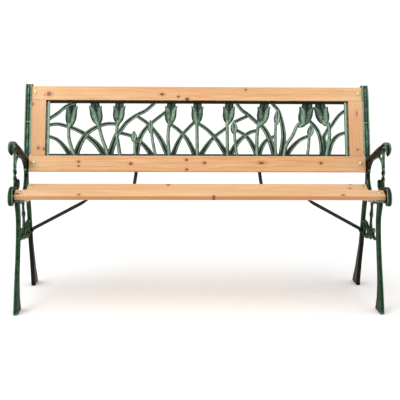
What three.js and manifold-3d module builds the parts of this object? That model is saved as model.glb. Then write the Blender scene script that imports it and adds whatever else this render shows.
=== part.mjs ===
// Garden bench: two mirrored cast-iron end frames, a wooden back frame that
// holds a cast lattice panel of tulips, six wooden seat slats, two bent steel
// braces, and the bolts, nuts and screws that hold them together.
// Millimetres, +Z up, +X to the sitter's left side seen from the front as right,
// the bench faces -Y, and the origin is on the ground under the middle.
import * as THREE from "three";
import { mergeVertices } from "three/addons/utils/BufferGeometryUtils.js";
import Module from "manifold-3d";

// ---------- driving dimensions ----------
const HALF_WIDTH = 610; // outer face of each end frame
const Y_SHIFT = 1.5; // centres the depth of the bench on the origin
const RECLINE = 18; // lean of the back, degrees from vertical
const BACK_Y = 83; // front face of the back frame at the lower window edge
const BACK_Z = 490;
const WOOD_T = 18; // thickness of every board
const WINDOW_HALF = 533; // half length of the window in the back frame
const WINDOW_H = 199; // height of the window
const TOP_RAIL_H = 50;
const BOTTOM_RAIL_H = 56;
const RAIL_TOP_HALF = 582.5; // half lengths of the two rails
const RAIL_BOTTOM_HALF = 588.6;
const TENON = { t: 8, w: 30, len: 22 }; // stile tenons
const PANEL_T = 10; // thickness of the cast panel
const SLAT_W = 48;
const SLAT_HALF = 589.5; // half length of each seat slat
const BOLT_X = 573; // bolt line from the middle of the bench
const SHANK_R = 3; // M6 carriage bolts
const HOLE_R = 3.4;
const HEAD_R = 7.2;
const NUT_R = 5.9;
const GAP = 0.3; // air gap between pieces that touch

// ---------- solids ----------
const wasm = await Module();
wasm.setup();

function toSolid(geometry) {
  const g = geometry.index ? geometry.toNonIndexed() : geometry.clone();
  g.deleteAttribute("normal");
  g.deleteAttribute("uv");
  const m = mergeVertices(g, 1e-3);
  return new wasm.Manifold(
    new wasm.Mesh({
      numProp: 3,
      vertProperties: new Float32Array(m.attributes.position.array),
      triVerts: new Uint32Array(m.index.array),
    }),
  );
}

function toGeometry(solid) {
  const m = solid.getMesh();
  const n = m.numProp;
  const v = new Float32Array(m.numVert * 3);
  for (let i = 0; i < m.numVert; i++)
    v.set(m.vertProperties.subarray(i * n, i * n + 3), i * 3);
  const g = new THREE.BufferGeometry();
  g.setAttribute("position", new THREE.BufferAttribute(v, 3));
  g.setIndex(new THREE.BufferAttribute(new Uint32Array(m.triVerts), 1));
  const flat = g.toNonIndexed();
  flat.computeVertexNormals();
  return flat;
}

const join = (solids) => solids.reduce((a, b) => a.add(b));
const cut = (solid, tools) => tools.reduce((a, b) => a.subtract(b), solid);

// Prism of a closed 2D outline. basis maps outline x, outline y and depth.
function prism(points, depth0, depth1, basis) {
  const shape = new THREE.Shape(points.map((p) => new THREE.Vector2(p[0], p[1])));
  const g = new THREE.ExtrudeGeometry(shape, {
    depth: depth1 - depth0,
    bevelEnabled: false,
    steps: 1,
  });
  g.translate(0, 0, depth0);
  g.applyMatrix4(basis);
  return toSolid(g);
}

const matrixOf = (ex, ey, ez, o = [0, 0, 0]) =>
  new THREE.Matrix4().set(
    ex[0], ey[0], ez[0], o[0],
    ex[1], ey[1], ez[1], o[1],
    ex[2], ey[2], ez[2], o[2],
    0, 0, 0, 1,
  );

// outline (y, z), depth along X
const SIDE = matrixOf([0, 1, 0], [0, 0, 1], [1, 0, 0]);
const rad = THREE.MathUtils.degToRad;
const SINR = Math.sin(rad(RECLINE)),
  COSR = Math.cos(rad(RECLINE));
// outline (x, u up the slope), depth v out of the front face
const BACK = matrixOf([1, 0, 0], [0, SINR, COSR], [0, -COSR, SINR], [0, BACK_Y, BACK_Z]);
// outline (v, u), depth along X, for end sections in the back plane
const BACKX = matrixOf([0, -COSR, SINR], [0, SINR, COSR], [-1, 0, 0], [0, BACK_Y, BACK_Z]);
const backPoint = (x, u, v) => [x, BACK_Y + SINR * u - COSR * v, BACK_Z + COSR * u + SINR * v];

// Smooth centreline through points, n samples.
function smooth(points, n) {
  const c = new THREE.CatmullRomCurve3(
    points.map((p) => new THREE.Vector3(p[0], p[1], 0)),
    false,
    "centripetal",
  );
  return c.getPoints(n).map((p) => [p.x, p.y]);
}

// Closed outline of a ribbon along a centreline; widths run from start to end.
function ribbon(points, widths, n = 8, caps = 0) {
  const c = smooth(points, n);
  const left = [],
    right = [];
  c.forEach((p, i) => {
    const a = c[Math.max(0, i - 1)],
      b = c[Math.min(c.length - 1, i + 1)];
    const d = Math.hypot(b[0] - a[0], b[1] - a[1]);
    const nx = -(b[1] - a[1]) / d,
      ny = (b[0] - a[0]) / d;
    const t = (i / (c.length - 1)) * (widths.length - 1);
    const k = Math.min(widths.length - 2, Math.floor(t));
    const w = (widths[k] + (widths[k + 1] - widths[k]) * (t - k)) / 2;
    left.push([p[0] + nx * w, p[1] + ny * w]);
    right.push([p[0] - nx * w, p[1] - ny * w]);
  });
  const end = (p, q, w) => {
    const d = Math.hypot(p[0] - q[0], p[1] - q[1]);
    return [p[0] + ((p[0] - q[0]) / d) * w * 0.42, p[1] + ((p[1] - q[1]) / d) * w * 0.42];
  };
  const out = [...right];
  if (caps) out.push(end(c[c.length - 1], c[c.length - 2], widths[widths.length - 1]));
  out.push(...left.reverse());
  if (caps) out.push(end(c[0], c[1], widths[0]));
  return out;
}

// Rectangle with its corners taken off.
const slab = (x0, y0, x1, y1, r) => [
  [x0 + r, y0], [x1 - r, y0], [x1 - 0.3 * r, y0 + 0.3 * r], [x1, y0 + r],
  [x1, y1 - r], [x1 - 0.3 * r, y1 - 0.3 * r], [x1 - r, y1], [x0 + r, y1],
  [x0 + 0.3 * r, y1 - 0.3 * r], [x0, y1 - r], [x0, y0 + r], [x0 + 0.3 * r, y0 + 0.3 * r],
];
const rect = (x0, y0, x1, y1) => [[x0, y0], [x1, y0], [x1, y1], [x0, y1]];

// Cylinder, n sides, from one point along a unit direction.
function rod(from, dir, length, r, n = 8) {
  const g = new THREE.CylinderGeometry(r, r, length, n, 1);
  g.translate(0, length / 2, 0);
  g.applyQuaternion(
    new THREE.Quaternion().setFromUnitVectors(
      new THREE.Vector3(0, 1, 0),
      new THREE.Vector3(...dir).normalize(),
    ),
  );
  g.translate(...from);
  return toSolid(g);
}

// ---------- materials ----------
const wood = (c) => new THREE.MeshStandardMaterial({ color: c, roughness: 0.6, metalness: 0 });
const iron = new THREE.MeshStandardMaterial({ color: 0x3c4a3f, roughness: 0.55, metalness: 0.35 });
const panelIron = new THREE.MeshStandardMaterial({ color: 0x55705b, roughness: 0.5, metalness: 0.35 });
const zinc = new THREE.MeshStandardMaterial({ color: 0xd2c9a4, roughness: 0.35, metalness: 0.9 });
const black = new THREE.MeshStandardMaterial({ color: 0x17180f, roughness: 0.5, metalness: 0.3 });

const bench = new THREE.Group();
const inner = new THREE.Group();
inner.position.y = Y_SHIFT;
bench.add(inner);
const solids = {};
function put(name, solid, material) {
  const mesh = new THREE.Mesh(toGeometry(solid), material);
  mesh.name = name;
  inner.add(mesh);
  solids[name] = solid;
  return mesh;
}

// ---------- seat line ----------
// Middle of each slat's top face (y, z) and its tilt, rear edge up.
const SEAT = [
  { name: "seat_slat_1_front", y: -226, z: 404.5, tilt: 16 },
  { name: "seat_slat_2", y: -172.5, z: 401, tilt: -9 },
  { name: "seat_slat_3", y: -119, z: 391, tilt: -9 },
  { name: "seat_slat_4", y: -65, z: 381.5, tilt: -6 },
  { name: "seat_slat_5", y: -10.5, z: 377.5, tilt: 2 },
  { name: "seat_slat_6_rear", y: 43, z: 386.5, tilt: 20 },
];
for (const s of SEAT) {
  const a = rad(s.tilt);
  s.dir = [0, Math.cos(a), Math.sin(a)]; // rearwards along the face
  s.up = [0, -Math.sin(a), Math.cos(a)]; // out of the top face
  s.basis = matrixOf([0, s.dir[1], s.dir[2]], [0, s.up[1], s.up[2]], [1, 0, 0], [0, s.y, s.z]);
  s.at = (x, t, h) => [x, s.y + s.dir[1] * t + s.up[1] * h, s.z + s.dir[2] * t + s.up[2] * h];
}

// ---------- bolts ----------
// Every through bolt: head seat, direction of the shank, grip length.
const BOLTS = [];
for (const side of [-1, 1]) {
  const s = side < 0 ? "left" : "right";
  SEAT.forEach((slat, i) =>
    BOLTS.push({
      name: `seat_bolt_${s}_${i + 1}`,
      nut: `seat_nut_${s}_${i + 1}`,
      at: slat.at(side * BOLT_X, 0, GAP),
      dir: slat.up.map((c) => -c),
      grip: GAP + WOOD_T + GAP + 6,
      kind: "seat",
    }),
  );
  for (const [tag, u] of [["upper", 226], ["lower", -27.5]])
    BOLTS.push({
      name: `back_bolt_${s}_${tag}`,
      nut: `back_nut_${s}_${tag}`,
      at: backPoint(side * (BOLT_X - 2), u, GAP),
      dir: [0, COSR, -SINR],
      grip: GAP + WOOD_T + GAP + 7,
      kind: "back",
    });
}
const boltHole = (b, r = HOLE_R, n = 8) =>
  rod(b.at.map((c, i) => c - b.dir[i] * 10), b.dir, 60, r, n);

// Domed head, shank, plain end; made along +Y then turned to its direction.
function boltSolid(b) {
  const len = b.grip + (b.tail ?? 9);
  const p = [
    ...(b.low ? [[0, -2], [4.4, -1.7]] : [[0, -3.6], [4, -3.0]]), [b.low ? 5.6 : 6.4, b.low ? -0.8 : -1.5], [b.low ? 6.2 : HEAD_R, 0], [SHANK_R, 0], [SHANK_R, len - 0.8], [SHANK_R - 0.8, len], [0, len],
  ].map((q) => new THREE.Vector2(q[0], q[1]));
  const g = new THREE.LatheGeometry(p, 8);
  g.applyQuaternion(
    new THREE.Quaternion().setFromUnitVectors(new THREE.Vector3(0, 1, 0), new THREE.Vector3(...b.dir)),
  );
  g.translate(...b.at);
  const s = toSolid(g);
  if (s.volume() > 0) return s;
  const flipped = mergeVertices((() => { const h = g.toNonIndexed(); h.deleteAttribute("normal"); h.deleteAttribute("uv"); return h; })(), 1e-3);
  const t = new Uint32Array(flipped.index.array);
  for (let i = 0; i < t.length; i += 3) [t[i + 1], t[i + 2]] = [t[i + 2], t[i + 1]];
  return new wasm.Manifold(
    new wasm.Mesh({ numProp: 3, vertProperties: new Float32Array(flipped.attributes.position.array), triVerts: t }),
  );
}
function nutSolid(b, at = b.grip + GAP, h = 5) {
  const from = b.at.map((c, i) => c + b.dir[i] * at);
  return rod(from, b.dir, h, NUT_R, 6).subtract(
    rod(from.map((c, i) => c - b.dir[i]), b.dir, h + 2, SHANK_R + GAP, 8),
  );
}

// Where each brace is held: rear leg, lower back rail, rear slat.
const BRACE_BOLT = [141, 215.5];
const BRACE_BACK = (s, v) => backPoint(s * 213.4, -30, v);
const BRACE_SEAT = (s, h) => SEAT[5].at(s * 292, 6.5, h);

// ---------- back frame of wood ----------
const V0 = -WOOD_T; // rear face of the boards
const mortise = (x0, x1, u0, u1) =>
  prism(rect(x0 - GAP, u0, x1 + GAP, u1), V0 / 2 - TENON.t / 2 - GAP, V0 / 2 + TENON.t / 2 + GAP, BACK);
const STILE_MID = (WINDOW_HALF + RAIL_TOP_HALF) / 2;
const mortises = (u0, u1) =>
  [-1, 1].map((s) => mortise(s * STILE_MID - TENON.w / 2, s * STILE_MID + TENON.w / 2, u0, u1));
const board = (u0, u1, half, r = 3) =>
  prism(slab(u0, V0, u1, 0, r), -half, half, matrixOf([0, SINR, COSR], [0, -COSR, SINR], [1, 0, 0], [0, BACK_Y, BACK_Z]));
put(
  "back_top_rail",
  cut(board(WINDOW_H + GAP, WINDOW_H + TOP_RAIL_H, RAIL_TOP_HALF), [
    ...mortises(WINDOW_H - 5, WINDOW_H + TENON.len + 1),
    ...BOLTS.filter((b) => b.kind === "back").map((b) => boltHole(b)),
  ]),
  wood(0xe8b98a),
);
put(
  "back_bottom_rail",
  cut(board(-BOTTOM_RAIL_H, -GAP, RAIL_BOTTOM_HALF), [
    ...mortises(-TENON.len - 1, 5),
    ...BOLTS.filter((b) => b.kind === "back").map((b) => boltHole(b)),
    ...[-1, 1].map((s) => rod(BRACE_BACK(s, V0 - 5), [0, -COSR, SINR], 5 + 14, 1.9, 6)),
  ]),
  wood(0xe3b080),
);
for (const s of [-1, 1]) {
  const body = prism(
    rect(Math.min(s * WINDOW_HALF, s * RAIL_TOP_HALF), 0, Math.max(s * WINDOW_HALF, s * RAIL_TOP_HALF), WINDOW_H),
    V0,
    0,
    BACK,
  );
  const tenon = prism(
    rect(s * STILE_MID - TENON.w / 2, -TENON.len, s * STILE_MID + TENON.w / 2, WINDOW_H + TENON.len),
    V0 / 2 - TENON.t / 2,
    V0 / 2 + TENON.t / 2,
    BACK,
  );
  put(
    s < 0 ? "back_left_stile" : "back_right_stile",
    cut(body.add(tenon), [30, 169].map((u) =>
      rod(backPoint(s * (WINDOW_HALF + 9), u, V0 - 5), [0, -COSR, SINR], 5 + 12, 1.9, 6))),
    wood(0xedc094),
  );
}

// ---------- cast lattice panel ----------
// Plan positions in the window: x from the middle, u up from its lower edge.
const BAR_TOP = 11.5,
  BAR_BOTTOM = 7,
  BAR_SIDE = 13;
const TULIPS = [
  // x0, x1, foot, tip, lean, stem
  [-466, -424, 108, 188, 6, [[-452.6, 112], [-451.9, 67], [-442, 29], [-432, 3]]],
  [-381, -334, 115, 189, -12, [[-349.3, 120], [-338, 70], [-320, 20], [-316, 3]]],
  [-300, -256, 119, 189, 4, [[-282, 123], [-285, 79], [-280, 47], [-273, 3]]],
  [-118, -73.5, 117, 189, 5, [[-100, 121], [-105, 73], [-102, 16], [-102, 3]]],
  [-24, 19.5, 119, 188, 3, [[-3.5, 123], [-2.5, 25], [-2.5, 3]]],
  [87, 131.5, 120, 188, 5, [[103, 125], [103.5, 25], [103.5, 3]]],
  [208, 255, 118, 188, 9, [[216.5, 124], [209, 81], [207, 25], [207, 3]]],
  [355, 409.5, 115, 189, 15, [[362, 122], [350, 109], [333, 73], [311, 40], [302, 3]]],
  [414, 467, 119, 189, -14, [[462, 124], [465, 85], [461.5, 47], [452, 3]]],
];
const BUDS = [
  [-238, -211.5, 50, 91, 0, [[-222.5, 56], [-220, 3]]],
  [-179, -155, 82, 131, -2, [[-163, 88], [-160, 60], [-149.5, 3]]],
  [112.5, 142, 80, 128, -2, [[129, 86], [130.5, 53], [136, 3]]],
  [267, 294, 114, 170, 3, [[275, 120], [272.5, 65], [273, 3]]],
  [384.5, 412, 72, 116, 4, [[393.5, 78], [389.5, 34], [385, 3]]],
];
const LEAVES = [
  [[-524, 131], [-491, 154], [-464, 177], [-436, 190]],
  [[-524, 110], [-493.5, 114], [-462, 107], [-427.5, 94.5], [-399.5, 80], [-380, 64], [-355, 42], [-326, 3]],
  [[-524, 70], [-492, 57.5], [-467, 32], [-446, 3]],
  [[-427, 3], [-414, 39], [-396, 71], [-377.5, 90], [-353, 104.5], [-337, 111], [-312.5, 116], [-284, 114]],
  [[-308, 3], [-295.5, 47], [-283.5, 79], [-271, 92], [-252.5, 118], [-218, 145.5], [-184, 163.5], [-153, 191]],
  [[-215, 144], [-180, 120], [-152, 89.5], [-130, 57.5], [-105, 3]],
  [[-280, 84], [-236.5, 73], [-201.5, 51], [-173, 19], [-163, -2]],
  [[-217, 3], [-208, 47.5], [-196, 79.5], [-174, 109], [-152, 128], [-112, 160]],
  [[-96, 115], [-64, 90], [-39, 61], [-10, 3]],
  [[-88, 3], [-70.5, 48], [-52, 80], [-14, 121]],
  [[0, 119], [31, 97], [58, 69.5], [79.5, 39.5], [102, 3]],
  [[9, 3], [36.5, 44.5], [61, 72], [102, 103]],
  [[138, 191], [156, 167], [177.5, 150.5], [204.5, 125.5], [228.5, 106], [244.5, 81], [257, 48], [270, 3]],
  [[180, 148], [127, 123]],
  [[136, 94], [166, 75.5], [184.5, 53.5], [208, 3]],
  [[113, 3], [138.5, 48], [161, 70], [185, 86.5], [210, 93]],
  [[213, 3], [227.5, 40], [244, 59], [275, 74]],
  [[264, 191], [284, 167.5], [294, 136.5], [300, 103.5], [302, 67.5], [293, 3]],
  [[309, 3], [335.5, 37], [360, 59.5], [391, 74]],
  [[386, 137], [410, 113], [424.5, 90], [433.5, 60], [437.5, 22], [438, 3]],
  [[446, 3], [448, 47], [444, 67.5], [454, 88], [464, 106]],
  [[466, 100], [485, 128.5], [500.5, 149], [524, 167]],
  [[456, 3], [468, 39.5], [483, 65], [503.5, 80.5], [524, 86]],
];
const V_PANEL = -5; // front face of the panel sits back from the boards
function tulip([x0, x1, lo, hi, lean]) {
  const w = (x1 - x0) / 2,
    c = (x0 + x1) / 2,
    h = hi - lo;
  const pts = [
    [-0.12, 0], [0.22, 0.02], [0.62, 0.14], [0.86, 0.38], [0.8, 0.66], [0.74, 1], [0.3, 0.8], [0.02, 1.0], [-0.3, 0.8], [-0.76, 0.97], [-0.82, 0.64], [-0.86, 0.36], [-0.6, 0.12],
  ];
  return pts.map(([a, b]) => [c + a * w + lean * (b - 0.5) * 0.9, lo + b * h]);
}
function bud([x0, x1, lo, hi, lean]) {
  const w = (x1 - x0) / 2,
    c = (x0 + x1) / 2,
    h = hi - lo;
  return [[0, 0], [0.7, 0.22], [0.86, 0.5], [0.5, 0.82], [0, 1], [-0.5, 0.82], [-0.86, 0.5], [-0.7, 0.22]].map(
    ([a, b]) => [c + a * w + lean * (b - 0.5), lo + b * h],
  );
}
{
  const x = WINDOW_HALF - GAP,
    u0 = GAP,
    u1 = WINDOW_H - GAP;
  const v = (pts, a, b) => prism(pts, a, b, BACK);
  const back = V_PANEL - PANEL_T;
  const frame = v(rect(-x, u0, x, u1), back, V_PANEL).subtract(
    v(rect(-x + BAR_SIDE, u0 + BAR_BOTTOM, x - BAR_SIDE, u1 - BAR_TOP), back - 5, V_PANEL + 5),
  );
  // Carries a stem or leaf that starts in the bottom bar on past it, so that it meets the bar squarely.
  const rooted = (l) => {
    const on = (a, b) => {
      const d = Math.hypot(b[0] - a[0], b[1] - a[1]);
      return [b[0] + ((b[0] - a[0]) / d) * 12, b[1] + ((b[1] - a[1]) / d) * 12];
    };
    const out = [...l],
      n = l.length - 1;
    if (l[n][1] < 10) out.push(on(l[n - 1], l[n]));
    if (l[0][1] < 10) out.unshift(on(l[1], l[0]));
    return out;
  };
  const parts = [frame];
  for (const t of TULIPS) {
    parts.push(v(tulip(t), back + 1, V_PANEL + 1));
    parts.push(v(ribbon(rooted(t[5]), [9.5, 11], 4), back + 3, V_PANEL - 1));
  }
  for (const b of BUDS) {
    parts.push(v(bud(b), back + 1, V_PANEL + 0.5));
    parts.push(v(ribbon(rooted(b[5]), [8, 9.5], 3), back + 3, V_PANEL - 1));
  }
  for (const l of LEAVES) {
    const n = l.length > 6 ? 7 : l.length > 4 ? 5 : l.length > 2 ? 4 : 1;
    const first = l[0][1] < 10,
      last = l[l.length - 1][1] < 10;
    const widths = first ? [16, 12.5, 10] : last ? [10, 12.5, 16] : [10, 10];
    parts.push(v(ribbon(rooted(l), widths, n), back + 2.5, V_PANEL - 0.5));
  }
  const lattice = join(parts).intersect(v(rect(-x, u0, x, u1), back - 5, V_PANEL + 5));
  parts.length = 0;
  parts.push(lattice);
  // Ears on the back of the side bars, screwed to the stiles.
  for (const s of [-1, 1])
    for (const u of [30, 169]) {
      const e0 = s * (WINDOW_HALF - 8),
        e1 = s * (WINDOW_HALF + 17);
      parts.push(v(rect(Math.min(e0, e1), u - 7, Math.max(e0, e1), u + 7), V0 - GAP - 3, V0 - GAP));
      const w0 = s * (WINDOW_HALF - 8),
        w1 = s * (WINDOW_HALF - 1);
      parts.push(v(rect(Math.min(w0, w1), u - 7, Math.max(w0, w1), u + 7), V0 - GAP - 3, back + 1));
    }
  const holes = [-1, 1].flatMap((s) =>
    [30, 169].map((u) => rod(backPoint(s * (WINDOW_HALF + 9), u, V0 - 8), [0, -COSR, SINR], 12, 2.4, 6)),
  );
  put("tulip_panel", cut(join(parts), holes), panelIron);
  for (const s of [-1, 1])
    [30, 169].forEach((u, i) => {
      const dir = [0, -COSR, SINR];
      const head = backPoint(s * (WINDOW_HALF + 9), u, V0 - GAP * 2 - 3 - 2.2);
      put(
        `panel_screw_${s < 0 ? "left" : "right"}_${i ? "upper" : "lower"}`,
        rod(head, dir, 2.2, 4, 6).add(rod(head.map((c, k) => c + dir[k] * 1.2), dir, 13.5, 1.5, 6)),
        zinc,
      );
    });
}

// ---------- seat slats ----------
for (const s of SEAT)
  put(
    s.name,
    cut(
      prism(slab(-SLAT_W / 2, -WOOD_T, SLAT_W / 2, 0, 5), -SLAT_HALF, SLAT_HALF, s.basis),
      [
        ...BOLTS.filter((b) => b.kind === "seat" && Math.abs(b.at[1] - s.y) < 5).map((b) => boltHole(b)),
        ...(s === SEAT[5] ? [-1, 1].map((k) => rod(BRACE_SEAT(k, -WOOD_T - 5), s.up, 5 + 13, 1.9, 6)) : []),
      ],
    ),
    wood(0xe9b989),
  );

// ---------- cast end frames ----------
// Side view outlines (y, z); made for the right side and mirrored.
const FLANGE = [583, 606.5]; // face of the upright
const ARM = [584, HALF_WIDTH];
const WEB = [593, 604];
const STRIP = [590.3, 606.5]; // scroll outside the slat ends
const LEG = [590.5, 605];
const seatUnder = SEAT.flatMap((s) => [s.at(0, -SLAT_W / 2 + 2, -WOOD_T - GAP), s.at(0, SLAT_W / 2 - 2, -WOOD_T - GAP)]).map(
  (p) => [p[1], p[2]],
);
const frontEdge = (u, v) => backPoint(0, u, v).slice(1);
function endFrame() {
  const p = (pts, [a, b]) => prism(pts, a, b, SIDE);
  const parts = [];
  // upright: face flange and web, then the volute at its top
  const face = [frontEdge(10, -0.5), frontEdge(90, 0.5), frontEdge(170, 0.5), frontEdge(237, -0.5), frontEdge(255, -6), frontEdge(258.5, -18), frontEdge(250.5, -31), frontEdge(238, -34)];
  parts.push(p(ribbon(face, [8, 8, 8, 8, 8, 8, 7], 14, 1), FLANGE));
  parts.push(p([frontEdge(-66, -8), frontEdge(-66, -22), frontEdge(-20, -28), frontEdge(120, -26), frontEdge(240, -24), frontEdge(251, -16), frontEdge(242, -1), frontEdge(-30, -1)], [590.5, 604]));
  parts.push(p(ribbon([frontEdge(12, -2), frontEdge(-20, -3), frontEdge(-60, -4)], [9, 9, 9], 4), [590, 606.5]));
  // lower upright down to the seat
  parts.push(p([[72, 450], [93, 452], [90, 410], [94, 380], [110, 345], [84, 346], [74, 380], [71, 410]], [591, 604]));
  // curved strand from the upright forward to the seat rail
  parts.push(p(ribbon([[84, 462], [84, 432], [75, 407], [58, 388], [36, 372]], [9, 9, 9, 10], 8), [592, 606.5]));
  // arm: top flange, web and the dropped tip in front
  parts.push(p(ribbon([[71, 476], [48, 481.5], [9, 493], [-30, 505.5], [-70, 519], [-130, 538], [-165, 550], [-188, 556.5], [-203, 555], [-214, 544]], [8, 8, 8, 8, 8, 8, 8, 9, 9, 8], 13, 1), ARM));
  parts.push(p(ribbon([[-205, 552], [-215, 539], [-213, 523]], [12, 9, 5], 4, 1), [589, 604]));
  parts.push(p([[80, 478], [50, 480], [9, 492], [-30, 504], [-70, 517], [-130, 536], [-170, 548], [-165, 540], [-125, 524], [-82, 509], [-30, 493], [8, 484], [36, 472], [56, 456], [68, 436], [86, 436]], WEB));
  // post with its branch back to the arm
  parts.push(p(ribbon([[-160, 548], [-155, 525], [-157, 500], [-160, 484], [-163, 455], [-163, 412]], [9, 9, 9, 10, 10, 11], 8), [592.5, 601.5]));
  parts.push(p(ribbon([[-158, 476], [-146, 490], [-124, 500], [-100, 505], [-76, 509], [-56, 508]], [8, 8, 8, 8, 9], 7), [592.5, 601.5]));
  // scroll over and in front of the slat ends
  parts.push(p(ribbon([[-109, 423], [-115, 410], [-127, 404], [-148, 406], [-190, 415], [-220, 419], [-243, 414], [-256, 399], [-260, 383], [-259, 370]], [7, 7, 7, 7, 7, 8, 9, 10, 11, 8], 16, 1), STRIP));
  parts.push(p([[-257, 402], [-262, 372], [-254, 364], [-244, 368], [-236, 384], [-246, 398]], [590.5, 604]));
  // cheek between the strip and the rail, outside the ends of the front slats
  parts.push(p([[-258, 380], [-250, 402], [-238, 413], [-220, 417], [-190, 413], [-150, 404], [-130, 402], [-114, 405], [-112, 380], [-126, 378], [-178, 381], [-214, 384], [-238, 380], [-250, 372]], [593, 603.5]));
  // rail under the slats: seat flange and rib
  const under = seatUnder.map((q) => [q[0], q[1] - 6]);
  parts.push(p([...under, ...[...seatUnder].reverse()], [561, 604]));
  parts.push(p([...seatUnder.map((q) => [q[0], q[1] - 20]), ...seatUnder.map((q) => [q[0], q[1] - 2]).reverse()], WEB));
  // joins the rail to the scroll in front and to the upright behind
  parts.push(p([[-262, 372], [-244, 366], [-225, 370], [-225, 386], [-246, 392]], [592.5, 604]));
  parts.push(p([[50, 350], [90, 352], [90, 380], [56, 376]], WEB));
  // front leg
  parts.push(p([[-147, 374], [-144, 352], [-130, 322], [-124, 296], [-132, 245], [-156, 170], [-182, 108], [-204, 50], [-219, 12], [-219, 4], [-213, 0], [-141, 0], [-142, 12], [-152, 40], [-154, 80], [-148, 120], [-132, 170], [-110, 240], [-100, 290], [-103, 326], [-114, 374]], LEG));
  // rear leg
  parts.push(p([[84, 356], [104, 320], [128, 235], [140, 165], [160, 105], [180, 30], [183, 0], [262, 0], [258, 14], [226, 55], [202, 100], [168, 165], [150, 235], [128, 318], [108, 356]], LEG));
  // turned drop between the legs, with the knot of scrolls that ties the legs
  parts.push(p([[-14, 372], [-12, 335], [-16, 312], [-16, 292], [-9, 276], [-8, 240], [8, 240], [9, 276], [16, 292], [16, 312], [12, 335], [14, 372]], [594, 603]));
  parts.push(p([[-24, 247], [-26, 232], [-14, 218], [0, 211], [14, 218], [26, 232], [24, 247], [10, 255], [-10, 255]], [592, 605]));
  parts.push(p(ribbon([[-110, 248], [-86, 226], [-56, 223], [-20, 235]], [10, 9, 9, 10], 6), [594, 603]));
  parts.push(p(ribbon([[138, 243], [110, 253], [70, 250], [18, 233]], [10, 9, 9, 10], 6), [592, 604]));
  parts.push(p(ribbon([[140, 217], [105, 211], [60, 209], [12, 221]], [9, 8, 8, 9], 6), [594, 603]));
  // lugs behind the two rails
  for (const [a, b] of [[206, 246], [-48, -8]])
    parts.push(prism(rect(556, a, 599, b), V0 - GAP - 7, V0 - GAP, BACK));
  const solid = join(parts);
  const holes = BOLTS.filter((b) => b.at[0] > 0).map((b) => boltHole(b, HOLE_R, 8));
  holes.push(rod([580, ...BRACE_BOLT], [1, 0, 0], 40, HOLE_R, 8));
  return cut(solid, holes);
}
const right = endFrame();
put("right_side_frame", right, iron);
put("left_side_frame", right.mirror([1, 0, 0]), iron);

// ---------- bolts and nuts ----------
for (const b of BOLTS) {
  put(b.name, boltSolid(b), zinc);
  put(b.nut, nutSolid(b), zinc);
}

// ---------- braces ----------
// Flat bar 12 x 3: tab on the inner face of the rear leg, a fold, a straight
// rise with a turn near its top, a run under the rear slat, then up behind the lower back
// rail. Given as centre points with the bar's width direction.
const BAR_W = 12,
  BAR_T = 3;
const BRACE = [
  [[588.7, 151, 211.6], [0, 0.361, 0.933]],
  [[588.7, 131, 219.3], [0, 0.361, 0.933]],
  [[587.4, 126.8, 221], [0.12, 0.28, 0.95]],
  [[582, 123.8, 225], [0.45, 0.02, 0.88]],
  [[412, 51.7, 322.7], [0.5, 0, 0.86]],
  [[402, 47.8, 328.5], [0.35, 0.5, 0.75]],
  [[393, 44.4, 334], [0.15, 0.85, 0.5]],
  [[383, 41, 340.5], [0, 0.97, 0.3]],
  [[368, 36.5, 351], [0, 1, 0.25]],
  [[352, 35.5, 361], [0.15, 1, 0.35]],
  [[338, 38.5, 363.2], [0.3, 0.9, 0.328]],
  [[245, 60, 371], [0.3, 0.9, 0.328]],
  [[233.5, 67.5, 372.2], [0.5, 0.8, 0.26]],
  [[225.5, 77, 379.5], [0.8, 0.6, 0.1]],
  [[221.5, 80.5, 395], [0.95, 0.3, 0.05]],
  [[216.5, 84.6, 429], [1, 0, 0.1]],
  [[211, 102.6, 486.5], [1, 0, 0.1]],
];
function sweep(stations, s) {
  const pts = stations.map((q) => new THREE.Vector3(s * q[0][0], q[0][1], q[0][2]));
  const rings = pts.map((c, i) => {
    const t = new THREE.Vector3()
      .subVectors(pts[Math.min(pts.length - 1, i + 1)], pts[Math.max(0, i - 1)])
      .normalize();
    const w = new THREE.Vector3(s * stations[i][1][0], stations[i][1][1], stations[i][1][2]);
    w.addScaledVector(t, -w.dot(t)).normalize();
    const n = new THREE.Vector3().crossVectors(t, w);
    return [[1, 1], [-1, 1], [-1, -1], [1, -1]].map(([a, b]) =>
      c.clone().addScaledVector(w, (a * BAR_W) / 2).addScaledVector(n, (b * BAR_T) / 2),
    );
  });
  const pos = [],
    idx = [];
  rings.flat().forEach((v) => pos.push(v.x, v.y, v.z));
  for (let i = 0; i + 1 < rings.length; i++)
    for (let k = 0; k < 4; k++) {
      const a = i * 4 + k,
        b = i * 4 + ((k + 1) % 4),
        c = a + 4,
        d = b + 4;
      idx.push(a, b, d, a, d, c);
    }
  const e = (rings.length - 1) * 4;
  idx.push(0, 2, 1, 0, 3, 2, e, e + 1, e + 2, e, e + 2, e + 3);
  const g = new THREE.BufferGeometry();
  g.setAttribute("position", new THREE.BufferAttribute(new Float32Array(pos), 3));
  g.setIndex(idx);
  const solid = toSolid(g);
  if (solid.volume() > 0) return solid;
  for (let i = 0; i < idx.length; i += 3) [idx[i + 1], idx[i + 2]] = [idx[i + 2], idx[i + 1]];
  g.setIndex(idx);
  return toSolid(g);
}
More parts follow.
